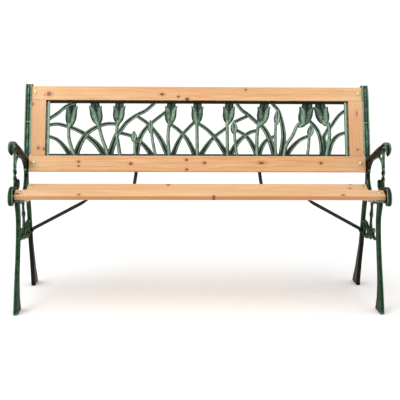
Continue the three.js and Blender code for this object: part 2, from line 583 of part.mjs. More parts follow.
for (const s of [-1, 1]) {
  const side = s < 0 ? "left" : "right";
  put(
    `${side}_brace`,
    cut(sweep(BRACE, s), [
      rod([s * 560, ...BRACE_BOLT], [s, 0, 0], 60, HOLE_R, 8),
      rod(BRACE_BACK(s, V0 - 12), [0, -COSR, SINR], 14, 2.3, 6),
      rod(BRACE_SEAT(s, -30), SEAT[5].up, 24, 2.3, 6),
    ]),
    black,
  );
  const pivot = { at: [s * 586.9, ...BRACE_BOLT], dir: [s, 0, 0], grip: 18.2, tail: 3.9, low: true };
  put(`brace_bolt_${side}`, boltSolid(pivot), zinc);
  put(`brace_nut_${side}`, nutSolid(pivot, pivot.grip + GAP, 3.2), zinc);
  const screw = (name, head, dir) =>
    put(name, rod(head, dir, 2, 3.9, 6).add(rod(head.map((c, k) => c + dir[k]), dir, 14, 1.5, 6)), zinc);
  screw(`brace_screw_${side}_rail`, BRACE_BACK(s, V0 - GAP - BAR_T - 0.6 - 2.2), [0, -COSR, SINR]);
  screw(`brace_screw_${side}_seat`, BRACE_SEAT(s, -WOOD_T - GAP - BAR_T - 1.9 - 2.2), SEAT[5].up);
}

export default bench;
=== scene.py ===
import math

import bmesh
import bpy
import numpy as np
from mathutils import Matrix, Vector


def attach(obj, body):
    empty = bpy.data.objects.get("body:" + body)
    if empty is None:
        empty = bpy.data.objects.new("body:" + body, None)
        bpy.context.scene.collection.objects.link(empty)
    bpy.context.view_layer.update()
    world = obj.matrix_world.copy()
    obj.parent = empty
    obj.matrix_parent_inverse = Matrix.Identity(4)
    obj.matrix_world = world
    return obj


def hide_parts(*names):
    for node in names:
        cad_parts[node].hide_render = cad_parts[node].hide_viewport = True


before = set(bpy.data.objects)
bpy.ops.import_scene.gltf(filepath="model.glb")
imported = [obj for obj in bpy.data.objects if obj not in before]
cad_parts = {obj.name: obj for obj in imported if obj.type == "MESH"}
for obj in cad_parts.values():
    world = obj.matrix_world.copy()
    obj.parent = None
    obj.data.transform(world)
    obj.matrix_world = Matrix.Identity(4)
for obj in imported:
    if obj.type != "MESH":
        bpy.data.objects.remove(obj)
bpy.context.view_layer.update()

# ------------------------------------------------------------ dimensions (mm)
Y_SHIFT = 1.5
SINR, COSR = math.sin(math.radians(18)), math.cos(math.radians(18))
BACK_Y, BACK_Z = 83.0, 490.0
WOOD_T = 18.0
WINDOW_HALF, WINDOW_H = 533.0, 199.0
TOP_RAIL_H, BOTTOM_RAIL_H = 50.0, 56.0
RAIL_TOP_HALF, RAIL_BOTTOM_HALF = 582.5, 588.6
SLAT_W, SLAT_HALF = 48.0, 589.5
BOLT_X = 573.0
GAP = 0.3
V_PANEL = -5.0
SEAT = [
    ("seat_slat_1_front", -226, 404.5, 16),
    ("seat_slat_2", -172.5, 401, -9),
    ("seat_slat_3", -119, 391, -9),
    ("seat_slat_4", -65, 381.5, -6),
    ("seat_slat_5", -10.5, 377.5, 2),
    ("seat_slat_6_rear", 43, 386.5, 20),
]


def back(x, u, v):
    """Point in the plane of the back: x along it, u up the slope, v out of its front."""
    return (x, BACK_Y + SINR * u - COSR * v, BACK_Z + COSR * u + SINR * v)


def seat_point(i, x, t, h):
    _, y, z, a = SEAT[i]
    a = math.radians(a)
    return (x, y + math.cos(a) * t - math.sin(a) * h, z + math.sin(a) * t + math.cos(a) * h)


def lin(hex_colour):
    h = hex_colour.lstrip("#")
    out = []
    for i in (0, 2, 4):
        c = int(h[i : i + 2], 16) / 255
        out.append(c / 12.92 if c <= 0.04045 else ((c + 0.055) / 1.055) ** 2.4)
    return (*out, 1.0)


# ------------------------------------------------------------ mesh tools
def curve(pts, n):
    """Smooth line through points of any number of channels; the first two set the spacing."""
    P = np.array(pts, float)
    T = [0.0]
    for i in range(1, len(P)):
        T.append(T[-1] + max(1e-6, float(np.linalg.norm(P[i, :2] - P[i - 1, :2]))) ** 0.5)
    T = np.array(T)
    m = np.zeros_like(P)
    for i in range(len(P)):
        if 0 < i < len(P) - 1:
            h0, h1 = T[i] - T[i - 1], T[i + 1] - T[i]
            m[i] = ((P[i] - P[i - 1]) / h0 * h1 + (P[i + 1] - P[i]) / h1 * h0) / (h0 + h1)
        elif i == 0:
            m[i] = (P[1] - P[0]) / (T[1] - T[0])
        else:
            m[i] = (P[-1] - P[-2]) / (T[-1] - T[-2])
    out = []
    for t in np.linspace(0, T[-1], n + 1):
        i = min(len(P) - 2, max(0, int(np.searchsorted(T, t, side="right")) - 1))
        h = T[i + 1] - T[i]
        s = (t - T[i]) / h
        out.append(
            (2 * s**3 - 3 * s**2 + 1) * P[i]
            + (s**3 - 2 * s**2 + s) * h * m[i]
            + (-2 * s**3 + 3 * s**2) * P[i + 1]
            + (s**3 - s**2) * h * m[i + 1]
        )
    return np.array(out)


def tangents(c):
    t = np.zeros((len(c), 2))
    for i in range(len(c)):
        a, b = c[max(0, i - 1), :2], c[min(len(c) - 1, i + 1), :2]
        t[i] = (b - a) / max(1e-9, float(np.linalg.norm(b - a)))
    return t


class Shells:
    """A heap of closed shells, with one painted number per point."""

    def __init__(self):
        self.v, self.f, self.a = [], [], []

    def loft(self, rings, paint=None):
        base, n = len(self.v), len(rings[0])
        for i, ring in enumerate(rings):
            for j, p in enumerate(ring):
                self.v.append(p)
                self.a.append(0.5 if paint is None else paint[i][j])
        for i in range(len(rings) - 1):
            for j in range(n):
                k = (j + 1) % n
                self.f.append((base + i * n + j, base + i * n + k, base + (i + 1) * n + k, base + (i + 1) * n + j))
        self.f.append(tuple(base + j for j in reversed(range(n))))
        self.f.append(tuple(base + (len(rings) - 1) * n + j for j in range(n)))

    def mesh(self, name, attribute=None):
        me = bpy.data.meshes.new(name)
        v = [(x / 1000, (y + Y_SHIFT) / 1000, z / 1000) for x, y, z in self.v]
        me.from_pydata(v, [], self.f)
        if attribute:
            at = me.attributes.new(attribute, "FLOAT", "POINT")
            at.data.foreach_set("value", np.array(self.a, np.float32))
        bm = bmesh.new()
        bm.from_mesh(me)
        bmesh.ops.triangulate(bm, faces=[f for f in bm.faces if len(f.verts) > 4])
        bmesh.ops.recalc_face_normals(bm, faces=bm.faces[:])
        bm.to_mesh(me)
        bm.free()
        return me


def add(name, me, node, material, smooth=40):
    ob = bpy.data.objects.new(name, me)
    bpy.context.scene.collection.objects.link(ob)
    if smooth is not None:
        me.polygons.foreach_set("use_smooth", [True] * len(me.polygons))
        me.set_sharp_from_angle(angle=math.radians(smooth))
    me.materials.append(material)
    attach(ob, "root")
    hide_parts(node)
    return ob


# ------------------------------------------------------------ material tools
class Nodes:
    def __init__(self, name):
        self.mat = bpy.data.materials.new(name)
        self.mat.use_nodes = True
        self.t = self.mat.node_tree
        self.bsdf = self.t.nodes["Principled BSDF"]

    def new(self, kind, **props):
        n = self.t.nodes.new(kind)
        for k, v in props.items():
            setattr(n, k, v)
        return n

    def put(self, node, key, value):
        s = node.inputs[key]
        if isinstance(value, bpy.types.NodeSocket):
            self.t.links.new(value, s)
        else:
            s.default_value = value
        return node

    def math(self, op, a, b=0.0, c=None, clamp=False):
        n = self.new("ShaderNodeMath", operation=op, use_clamp=clamp)
        self.put(n, 0, a)
        self.put(n, 1, b)
        if c is not None:
            self.put(n, 2, c)
        return n.outputs[0]

    def noise(self, vector, scale, detail=4.0, rough=0.55, distortion=0.0):
        n = self.new("ShaderNodeTexNoise")
        self.put(n, "Vector", vector)
        self.put(n, "Scale", scale)
        self.put(n, "Detail", detail)
        self.put(n, "Roughness", rough)
        self.put(n, "Distortion", distortion)
        return n.outputs["Fac"]

    def ramp(self, fac, stops, mode="LINEAR"):
        n = self.new("ShaderNodeValToRGB")
        r = n.color_ramp
        r.interpolation = mode
        while len(r.elements) < len(stops):
            r.elements.new(0.5)
        for e, (p, c) in zip(r.elements, stops):
            e.position = p
            e.color = c if not isinstance(c, (int, float)) else (c, c, c, 1)
        self.put(n, "Fac", fac)
        return n.outputs["Color"]

    def mix(self, fac, a, b, blend="MIX"):
        n = self.new("ShaderNodeMix", data_type="RGBA", blend_type=blend)
        self.put(n, 0, fac)
        self.put(n, 6, a)
        self.put(n, 7, b)
        return n.outputs[2]

    def scaled(self, vector, sx, sy, sz):
        n = self.new("ShaderNodeVectorMath", operation="MULTIPLY")
        self.put(n, 0, vector)
        n.inputs[1].default_value = (sx, sy, sz)
        return n.outputs[0]

    def bump(self, height, strength, distance):
        n = self.new("ShaderNodeBump")
        self.put(n, "Height", height)
        self.put(n, "Strength", strength)
        self.put(n, "Distance", distance)
        self.t.links.new(n.outputs["Normal"], self.bsdf.inputs["Normal"])

    def local(self, origin, tilt):
        """Object coordinates turned into a board's own: x along, y across, z through."""
        co = self.new("ShaderNodeTexCoord").outputs["Object"]
        sub = self.new("ShaderNodeVectorMath", operation="SUBTRACT")
        self.put(sub, 0, co)
        sub.inputs[1].default_value = origin
        rot = self.new("ShaderNodeVectorRotate", rotation_type="X_AXIS")
        self.put(rot, "Vector", sub.outputs[0])
        self.put(rot, "Angle", -tilt)
        return rot.outputs[0]


def wood(name, origin, tilt, knots=(), vertical=False, seed=0.0, warm=0.5, pale=0.0, streak=1.0, nose_shade_limit=None, deep=0.0):
    """Clear-stained softwood: long grain with growth lines, knots, fine pores and slightly worn edges.

    knots: (along, across, radius, stretch) in metres in the board's own coordinates."""
    m = Nodes(name)
    p = m.local(origin, tilt)
    if vertical:
        sw = m.new("ShaderNodeSeparateXYZ")
        m.put(sw, 0, p)
        cb = m.new("ShaderNodeCombineXYZ")
        m.put(cb, 0, sw.outputs[1])
        m.put(cb, 1, sw.outputs[0])
        m.put(cb, 2, sw.outputs[2])
        p = cb.outputs[0]
    s = m.new("ShaderNodeSeparateXYZ")
    m.put(s, 0, p)
    x, u, v = s.outputs
    # wandering grain
    wander = m.noise(m.scaled(p, 1.7, 9.0, 9.0), 1.0, 2.0)
    u2 = m.math("MULTIPLY_ADD", wander, 0.022, u)
    core = halo = None
    for kx, ku, r, st in knots:
        dx = m.math("MULTIPLY", m.math("SUBTRACT", x, kx), 1.0 / st)
        du = m.math("SUBTRACT", u, ku)
        d = m.math("SQRT", m.math("ADD", m.math("MULTIPLY", dx, dx), m.math("MULTIPLY", du, du)))
        wob = m.math("MULTIPLY_ADD", m.noise(m.scaled(p, 160, 160, 160), 1.0, 2.0), r * 0.7, d)
        wob = m.math("SUBTRACT", wob, r * 0.35)
        push = m.math("EXPONENT", m.math("MULTIPLY", m.math("POWER", m.math("DIVIDE", d, r * 2.6), 2.0), -1.0))
        u2 = m.math("MULTIPLY_ADD", m.math("MULTIPLY", push, du), -0.75, u2)
        c = m.math("SUBTRACT", 1.0, m.math("DIVIDE", wob, r), clamp=True)
        h = m.math("SUBTRACT", 1.0, m.math("DIVIDE", wob, r * 2.4), clamp=True)
        core = c if core is None else m.math("MAXIMUM", core, c)
        halo = h if halo is None else m.math("MAXIMUM", halo, h)
    cb = m.new("ShaderNodeCombineXYZ")
    m.put(cb, 0, m.math("ADD", x, seed))
    m.put(cb, 1, u2)
    m.put(cb, 2, v)
    g = cb.outputs[0]
    # growth lines: broad soft bands with a harder edge on one side
    rings = m.math("MULTIPLY_ADD", m.noise(m.scaled(g, 1.2, 28, 22), 1.0, 3.0), 5.0, m.math("MULTIPLY", u2, 60.0))
    ring = m.math("FRACT", rings)
    line = m.ramp(ring, [(0.0, 0.15), (0.62, 0.45), (0.86, 1.0), (0.97, 0.9), (1.0, 0.15)])
    broad = m.noise(m.scaled(g, 1.4, 26, 18), 1.0, 3.0, 0.5)
    fine = m.noise(m.scaled(g, 9, 330, 260), 1.0, 5.0, 0.6)
    tone = m.noise(m.scaled(g, 0.9, 7, 5), 1.0, 2.0)
    base = m.ramp(
        m.math("MULTIPLY_ADD", broad, 0.62, m.math("MULTIPLY", tone, 0.38)),
        [
            (0.30, lin("#dfae79")),
            (0.46, lin("#e8ba89")),
            (0.58, lin("#f0ca98")),
            (0.74, lin("#f7d6a6")),
        ],
    )
    col = m.mix(m.math("MULTIPLY", line, 0.6 * streak), base, lin("#c98d56"))
    col = m.mix(m.math("MULTIPLY", m.ramp(fine, [(0.42, 0.0), (0.72, 1.0)]), 0.46 * streak), col, lin("#bb7b46"))
    if pale:
        col = m.mix(pale, col, lin("#f3cda2"))
    if deep:
        col = m.mix(deep, col, lin("#c98f5f"))
    # painted shade: on the front slat, below the given limit across the board, the rounded nose is darkened toward
    # #a5642f, standing in for the shade on its down-facing front
    if nose_shade_limit is not None:
        edge = m.ramp(m.math("SUBTRACT", nose_shade_limit, u), [(0.0, 0.0), (0.003, 1.0)])
        col = m.mix(m.math("MULTIPLY", edge, 0.86), col, lin("#a5642f"))
    blush = m.noise(m.scaled(g, 3.2, 14, 9), 1.0, 2.0)
    col = m.mix(m.math("MULTIPLY", m.ramp(blush, [(0.52, 0.0), (0.75, 1.0)]), 0.22 * warm), col, lin("#d98a58"))
    if core is not None:
        col = m.mix(m.math("MULTIPLY", m.ramp(halo, [(0.0, 0.0), (0.55, 0.55), (1.0, 0.8)]), 0.8), col, lin("#b86a3c"))
        knot_tone = m.mix(m.noise(m.scaled(p, 420, 420, 420), 1.0, 3.0), lin("#4a1c06"), lin("#8a4012"))
        col = m.mix(m.ramp(core, [(0.0, 0.0), (0.2, 1.0)]), col, knot_tone)
    # end grain drinks more stain; handling polishes the arrises a little paler
    geo = m.new("ShaderNodeNewGeometry")
    nx = m.new("ShaderNodeSeparateXYZ")
    m.put(nx, 0, geo.outputs["Normal"])
    end = m.math("ABSOLUTE", nx.outputs[0])
    if not vertical:
        col = m.mix(m.math("MULTIPLY", m.ramp(end, [(0.55, 0.0), (0.9, 1.0)]), 0.75), col, lin("#b3733f"))
    worn = m.ramp(geo.outputs["Pointiness"], [(0.502, 0.0), (0.56, 1.0)])
    col = m.mix(m.math("MULTIPLY", worn, 0.25), col, lin("#f9dcb6"))
    m.put(m.bsdf, "Base Color", col)
    m.put(m.bsdf, "Roughness", m.math("MULTIPLY_ADD", fine, 0.22, 0.42))
    m.bsdf.inputs["Specular IOR Level"].default_value = 0.35
    h = m.math("MULTIPLY_ADD", fine, 0.55, m.math("MULTIPLY", line, 0.35))
    if core is not None:
        h = m.math("MULTIPLY_ADD", core, -0.5, h)
    m.bump(h, 0.35, 0.0006)
    return m.mat


def casting(name, attribute, dark, mid, light, gain=1.0, brown=0.0):
    """Dark iron with a green patina brushed over what stands proud, and cast grain. The painted per-point value it
    reads holds that patina together with painted light and shade, so lit faces come out greener and shaded ones
    darker.
    """
    m = Nodes(name)
    co = m.new("ShaderNodeTexCoord").outputs["Object"]
    at = m.new("ShaderNodeAttribute", attribute_name=attribute)
    # the painted value read here is real patina mixed with painted light and shade
    patina_and_light = at.outputs["Fac"]
    patch = m.noise(co, 55.0, 4.0, 0.6)
    grit = m.noise(co, 260.0, 4.0, 0.65)
    speck = m.noise(co, 800.0, 2.0, 0.5)
    k = m.math("MULTIPLY_ADD", m.math("SUBTRACT", patch, 0.5), 0.7, m.math("MULTIPLY", patina_and_light, gain))
    k = m.math("MULTIPLY_ADD", m.math("SUBTRACT", grit, 0.5), 0.7, k, clamp=True)
    base = m.mix(m.noise(co, 22.0, 3.0), lin(dark), lin("#1c1811") if brown else lin("#1c211b"))
    if brown:
        sp = m.new("ShaderNodeSeparateXYZ")
        m.put(sp, 0, co)
        low = m.ramp(sp.outputs[2], [(0.34, 1.0), (0.40, 0.0)])
        high = m.ramp(sp.outputs[2], [(0.46, 0.0), (0.53, 1.0)])
        mid_tone = m.mix(high, lin(mid), lin("#4d6351"))
        mid_tone = m.mix(low, mid_tone, lin("#2a5634"))
    else:
        mid_tone = lin(mid)
    col = m.mix(m.ramp(k, [(0.22, 0.0), (0.62, 1.0)]), base, mid_tone)
    col = m.mix(m.ramp(k, [(0.62, 0.0), (1.0, 1.0)]), col, lin(light))
    col = m.mix(m.math("MULTIPLY", m.ramp(speck, [(0.62, 0.0), (0.75, 1.0)]), 0.35), col, lin("#12140f"))
    m.put(m.bsdf, "Base Color", col)
    m.put(m.bsdf, "Roughness", m.math("MULTIPLY_ADD", grit, 0.3, 0.36))
    m.put(m.bsdf, "Metallic", m.math("SUBTRACT", 0.35, m.math("MULTIPLY", k, 0.3)))
    m.bsdf.inputs["Specular IOR Level"].default_value = 0.13
    m.bump(m.math("MULTIPLY_ADD", grit, 0.7, m.math("MULTIPLY", speck, 0.3)), 0.55, 0.0008)
    return m.mat


def metal(name, a, b, rough, metallic, scale=300.0, wear=None):
    m = Nodes(name)
    co = m.new("ShaderNodeTexCoord").outputs["Object"]
    n1 = m.noise(co, scale, 4.0, 0.6)
    n2 = m.noise(co, scale * 4, 3.0, 0.6)
    col = m.mix(m.ramp(n1, [(0.35, 0.0), (0.7, 1.0)]), lin(a), lin(b))
    if wear:
        geo = m.new("ShaderNodeNewGeometry")
        col = m.mix(m.ramp(geo.outputs["Pointiness"], [(0.51, 0.0), (0.6, 1.0)]), col, lin(wear))
    m.put(m.bsdf, "Base Color", col)
    m.put(m.bsdf, "Roughness", m.math("MULTIPLY_ADD", n2, 0.25, rough))
    m.bsdf.inputs["Metallic"].default_value = metallic
    m.bump(n2, 0.25, 0.0003)
    return m.mat


IRON = casting("cast_iron_patina_and_light", "patina_and_light", "#12150f", "#2f5139", "#86ab8a", brown=1.0)
PANEL_IRON = casting("panel_patina_and_shade", "patina_and_light", "#141815", "#4b6152", "#93b198")
ZINC = metal("zinc_plate", "#d9cf9f", "#b9b394", 0.26, 0.85, wear="#f3ecd0")
BLACK = metal("black_paint", "#070806", "#141511", 0.5, 0.1, 120.0, wear="#22231e")
DARK_BOLT = metal("black_zinc", "#1b1c19", "#34342e", 0.32, 0.7)


# ------------------------------------------------------------ boards
def rounded(hw, hh, r, cu=0.0, cv=0.0, seg=6, inset=0.0):
    out = []
    for qx, qy, a0 in ((1, 1, 0), (-1, 1, 90), (-1, -1, 180), (1, -1, 270)):
        for k in range(seg + 1):
            a = math.radians(a0 + 90 * k / seg)
            out.append(
                (
                    cu + qx * (hw - r) + (r - inset) * math.cos(a),
                    cv + qy * (hh - r) + (r - inset) * math.sin(a),
                )
            )
    return out


def plank(name, node, half, hw, hh, r, cu, cv, place, material, round_end=1.4):
    s = Shells()
    rings = []
    steps = [(0.0, round_end), (0.29 * round_end, 0.42 * round_end), (round_end, 0.0)]
    xs = [(-half + d, i) for d, i in steps]
    n = 10
    xs += [(-half + round_end + (2 * half - 2 * round_end) * k / n, 0.0) for k in range(1, n)]
    xs += [(half - d, i) for d, i in reversed(steps)]
    for x, inset in xs:
        rings.append([place(x, a, b) for a, b in rounded(hw, hh, r, cu, cv, inset=inset)])
    s.loft(rings)
    return add(name, s.mesh(name), node, material, smooth=35)


KNOTS = {
    "back_top_rail": [(-0.523, 0.2203, 0.0075, 1.2), (-0.5383, 0.2162, 0.0022, 1.0), (-0.5111, 0.2182, 0.0020, 1.0), (-0.1258, 0.2207, 0.0050, 1.6), (-0.069, 0.213, 0.0042, 1.2), (-0.0376, 0.2035, 0.0055, 1.5), (0.1696, 0.2382, 0.0038, 1.1)],
    "back_bottom_rail": [(-0.4156, -0.0222, 0.0042, 1.3), (-0.4154, -0.0375, 0.0034, 1.3), (-0.2344, -0.0293, 0.0050, 1.2), (-0.0405, -0.0153, 0.0045, 1.2), (-0.0395, -0.0498, 0.0042, 1.2), (0.0224, -0.0255, 0.0046, 1.3), (0.2218, -0.0257, 0.0045, 2.4), (0.4305, -0.026, 0.0050, 1.2)],
}
SLAT_KNOTS = [
    [(-0.5795, -0.0120, 0.0095, 1.2), (-0.3845, -0.0167, 0.0045, 1.3), (0.4536, -0.0173, 0.0048, 1.3), (0.041, -0.0235, 0.0035, 1.4)],
    [(-0.412, 0.006, 0.0048, 1.4), (0.263, -0.004, 0.0040, 1.3)],
    [(-0.087, 0.010, 0.0055, 1.3), (0.487, -0.008, 0.0040, 1.2)],
    [(-0.287, -0.006, 0.0050, 1.3), (0.118, 0.009, 0.0042, 1.5)],
    [(-0.502, 0.004, 0.0042, 1.2), (0.361, -0.010, 0.0055, 1.3)],
    [(-0.1042, 0.0119, 0.0050, 1.3), (0.5334, 0.0177, 0.0042, 1.2), (0.5275, -0.0107, 0.0046, 1.2)],
]
tilt_back = math.radians(90 - 18)
back_origin = (0.0, (BACK_Y + Y_SHIFT) / 1000, BACK_Z / 1000)
plank(
    "back_top_rail_wood", "back_top_rail", RAIL_TOP_HALF, (TOP_RAIL_H - GAP) / 2, WOOD_T / 2, 2.2,
    WINDOW_H + (TOP_RAIL_H + GAP) / 2, -WOOD_T / 2, lambda x, u, v: back(x, u, v),
    wood("wood_top_rail", back_origin, tilt_back, KNOTS["back_top_rail"], seed=3.1, deep=0.06),
)
plank(
    "back_bottom_rail_wood", "back_bottom_rail", RAIL_BOTTOM_HALF, (BOTTOM_RAIL_H - GAP) / 2, WOOD_T / 2, 2.2,
    -(BOTTOM_RAIL_H + GAP) / 2, -WOOD_T / 2, lambda x, u, v: back(x, u, v),
    wood("wood_bottom_rail", back_origin, tilt_back, KNOTS["back_bottom_rail"], seed=11.4, warm=0.9, deep=0.08),
)
for side, s in (("left", -1), ("right", 1)):
    mid = (WINDOW_HALF + RAIL_TOP_HALF) / 2
    hw = (RAIL_TOP_HALF - WINDOW_HALF) / 2
    # runs up the slope, so the plank's long axis is u
    knots = (
        [(0.1827, -0.5815, 0.0072, 1.1), (0.0261, -0.5558, 0.0048, 1.2), (0.0229, -0.5371, 0.0045, 1.2)]
        if s < 0
        else [(0.0227, 0.5617, 0.0042, 1.0), (0.1534, 0.5626, 0.0022, 5.0)]
    )
    sh = Shells()
    rings = []
    L = WINDOW_H
    for d, i in ((0.0, 1.0), (0.3, 0.4), (1.0, 0.0), (L / 3, 0), (2 * L / 3, 0), (L - 1.0, 0.0), (L - 0.3, 0.4), (L, 1.0)):
        rings.append([back(a, d, b) for a, b in rounded(hw, WOOD_T / 2, 1.6, s * mid, -WOOD_T / 2, inset=i)])
    sh.loft(rings)
    nm = f"back_{side}_stile"
    add(
        nm + "_wood", sh.mesh(nm + "_wood"), nm,
        wood("wood_" + nm, back_origin, tilt_back, knots, vertical=True, seed=5.0 + s, warm=0.6, deep=0.45), smooth=35,
    )
for i, (nm, y, z, a) in enumerate(SEAT):
    # the first slat's wood gets painted shade on its nose
    plank(
        nm + "_wood", nm, SLAT_HALF, SLAT_W / 2, WOOD_T / 2, 5.6, 0.0, -WOOD_T / 2,
        lambda x, u, v, i=i: seat_point(i, x, u, v),
        wood("wood_" + nm, (0.0, (y + Y_SHIFT) / 1000, z / 1000), math.radians(a), SLAT_KNOTS[i], seed=17.0 + 2.3 * i, warm=0.7, pale=0.12, nose_shade_limit=-SLAT_W / 2000 + 0.0035 if i == 0 else None),
        round_end=2.4,
    )

# ------------------------------------------------------------ bolts, nuts, screws
def axes_of(d):
    d = Vector(d).normalized()
    a = Vector((1, 0, 0)) if abs(d.x) < 0.9 else Vector((0, 1, 0))
    e = d.cross(a).normalized()
    return d, e, d.cross(e)


def turned(profile, at, direction, seg=24, hexes=()):
    """Rings (distance along, radius) round an axis; indexes in hexes are six-sided."""
    d, e, f = axes_of(direction)
    at = Vector(at)
    rings = []
    for i, (t, r) in enumerate(profile):
        ring = []
        for k in range(seg):
            a = 2 * math.pi * k / seg
            rr = r
            if i in hexes:
                rr = r / math.cos((a + math.pi / 6) % (math.pi / 3) - math.pi / 6)
            ring.append(tuple(at + d * t + (e * math.cos(a) + f * math.sin(a)) * rr))
        rings.append(ring)
    return rings


def bolt(name, at, direction, grip, tail, low=False, material=ZINC):
    s = Shells()
    hr, hh = (6.2, 2.0) if low else (7.2, 3.6)
    head = [(-hh, 0.3)]
    for k in range(1, 9):
        a = math.radians(90 * k / 8)
        head.append((-hh * math.cos(a) ** 0.9 if k < 8 else -0.35, hr * math.sin(a)))
    head += [(0.0, hr - 0.15), (0.0, 3.0)]
    length = grip + tail
    shank = [(0.4, 3.0), (grip - 2.0, 3.0)]
    t = grip - 1.6
    while t < length - 0.9:  # thread
        shank += [(t, 2.65), (t + 0.35, 3.0), (t + 0.6, 3.0), (t + 0.95, 2.65)]
        t += 1.0
    shank += [(length - 0.6, 2.65), (length, 2.1), (length, 0.3)]
    s.loft(turned(head + shank, at, direction, 20))
    return add(name, s.mesh(name), name.replace("_part", ""), material, smooth=38)


def nut(name, at, direction, start, h, material=ZINC):
    s = Shells()
    r, b = 5.1, 3.25
    prof = [(start + h * 0.5, b), (start + 0.5, b), (start, b + 0.5), (start, r - 0.4), (start + 0.5, r), (start + h - 0.5, r), (start + h, r - 0.4), (start + h, b + 0.5), (start + h - 0.5, b), (start + h * 0.5, b)]
    rings = turned(prof[:-1], at, direction, 24, hexes=(4, 5))
    base, n = len(s.v), 24
    for ring in rings:
        for p in ring:
            s.v.append(p)
            s.a.append(0.5)
    m = len(rings)
    for i in range(m):
        for j in range(n):
            k, q = (j + 1) % n, (i + 1) % m
            s.f.append((base + i * n + j, base + i * n + k, base + q * n + k, base + q * n + j))
    return add(name, s.mesh(name), name.replace("_part", ""), material, smooth=38)


for side, s in (("left", -1), ("right", 1)):
    for i in range(6):
        a = math.radians(SEAT[i][3])
        d = (0, math.sin(a), -math.cos(a))
        at = seat_point(i, s * BOLT_X, 0, GAP)
        grip = GAP + WOOD_T + GAP + 6
        bolt(f"seat_bolt_{side}_{i + 1}_part", at, d, grip, 9)
        nut(f"seat_nut_{side}_{i + 1}_part", at, d, grip + GAP, 5)
    for tag, u in (("upper", 226), ("lower", -27.5)):
        d = (0, COSR, -SINR)
        at = back(s * (BOLT_X - 2), u, GAP)
        grip = GAP + WOOD_T + GAP + 7
        bolt(f"back_bolt_{side}_{tag}_part", at, d, grip, 9)
        nut(f"back_nut_{side}_{tag}_part", at, d, grip + GAP, 5)
    at, d = (s * 586.9, 141, 215.5), (s, 0, 0)
    bolt(f"brace_bolt_{side}_part", at, d, 18.2, 3.9, low=True, material=DARK_BOLT)
    nut(f"brace_nut_{side}_part", at, d, 18.5, 3.2, material=DARK_BOLT)


def screw(node, head, direction, head_r, head_h, length):
    s = Shells()
    prof = [(0.0, 0.4), (0.0, 1.2), (0.45, 1.3), (0.5, 2.2), (0.1, head_r - 0.9), (0.5, head_r - 0.15), (head_h, head_r - 0.1), (head_h, 1.45)]
    t = head_h + 1.0
    while t < length - 3:
        prof += [(t, 1.15), (t + 0.5, 1.5), (t + 0.7, 1.5), (t + 1.2, 1.15)]
        t += 1.5
    prof += [(length, 0.2)]
    s.loft(turned(prof, head, direction, 16))
    return add(node + "_part", s.mesh(node), node, ZINC, smooth=38)


for side, s in (("left", -1), ("right", 1)):
    for tag, u in (("lower", 30), ("upper", 169)):
        screw(f"panel_screw_{side}_{tag}", back(s * (WINDOW_HALF + 9), u, -WOOD_T - GAP * 2 - 3 - 2.2), (0, -COSR, SINR), 4.0, 2.2, 14.7)
    screw(f"brace_screw_{side}_rail", back(s * 213.4, -30, -WOOD_T - GAP - 3 - 0.6 - 2.2), (0, -COSR, SINR), 3.9, 2.0, 15.0)
    a = math.radians(20)
    screw(f"brace_screw_{side}_seat", seat_point(5, s * 292, 6.5, -WOOD_T - GAP - 3 - 1.9 - 2.2), (0, -math.sin(a), math.cos(a)), 3.9, 2.0, 15.0)

# ------------------------------------------------------------ braces
BRACE = [
    [(588.7, 151, 211.6), (0, 0.361, 0.933)],
    [(588.7, 131, 219.3), (0, 0.361, 0.933)],
    [(587.4, 126.8, 221), (0.12, 0.28, 0.95)],
    [(582, 123.8, 225), (0.45, 0.02, 0.88)],
    [(412, 51.7, 322.7), (0.5, 0, 0.86)],
    [(402, 47.8, 328.5), (0.35, 0.5, 0.75)],
    [(393, 44.4, 334), (0.15, 0.85, 0.5)],
    [(383, 41, 340.5), (0, 0.97, 0.3)],
    [(368, 36.5, 351), (0, 1, 0.25)],
    [(352, 35.5, 361), (0.15, 1, 0.35)],
    [(338, 38.5, 363.2), (0.3, 0.9, 0.328)],
    [(245, 60, 371), (0.3, 0.9, 0.328)],
    [(233.5, 67.5, 372.2), (0.5, 0.8, 0.26)],
    [(225.5, 77, 379.5), (0.8, 0.6, 0.1)],
    [(221.5, 80.5, 395), (0.95, 0.3, 0.05)],
    [(216.5, 84.6, 429), (1, 0, 0.1)],
    [(211, 102.6, 486.5), (1, 0, 0.1)],
]
for side, sgn in (("left", -1), ("right", 1)):
    P = np.array([list(a) + list(b) for a, b in BRACE], float)
    st = []
    for i in range(len(P) - 1):  # straight runs stay straight, bends are eased
        L = float(np.linalg.norm(P[i + 1, :3] - P[i, :3]))
        ends = [0.0] if L < 30 else [0.0, min(0.2, 6 / L), 1 - min(0.2, 6 / L)]
        for t in ends:
            st.append(P[i] * (1 - t) + P[i + 1] * t)
    st.append(P[-1])
    st = np.array(st)
    sm = st.copy()
    for i in range(1, len(st) - 1):
        sm[i] = st[i] * 0.6 + (st[i - 1] + st[i + 1]) * 0.2 if np.linalg.norm(st[i + 1, :3] - st[i - 1, :3]) < 40 else st[i]
    st = sm
    s = Shells()
    rings = []
    n = len(st)
    for i in range(n):
        c = Vector((sgn * st[i, 0], st[i, 1], st[i, 2]))
        a_, b_ = st[max(0, i - 1)], st[min(n - 1, i + 1)]
        t = Vector((sgn * (b_[0] - a_[0]), b_[1] - a_[1], b_[2] - a_[2])).normalized()
        w = Vector((sgn * st[i, 3], st[i, 4], st[i, 5]))
        w = (w - t * w.dot(t)).normalized()
        q = t.cross(w)
        k = 0.86 if i in (0, n - 1) else 1.0
        rings.append([tuple(c + w * a + q * b) for a, b in rounded(6.0 * k, 1.5 * k, 0.8, seg=3)])
    s.loft(rings)
    add(f"{side}_brace_bar", s.mesh(f"{side}_brace_bar"), f"{side}_brace", BLACK, smooth=40)

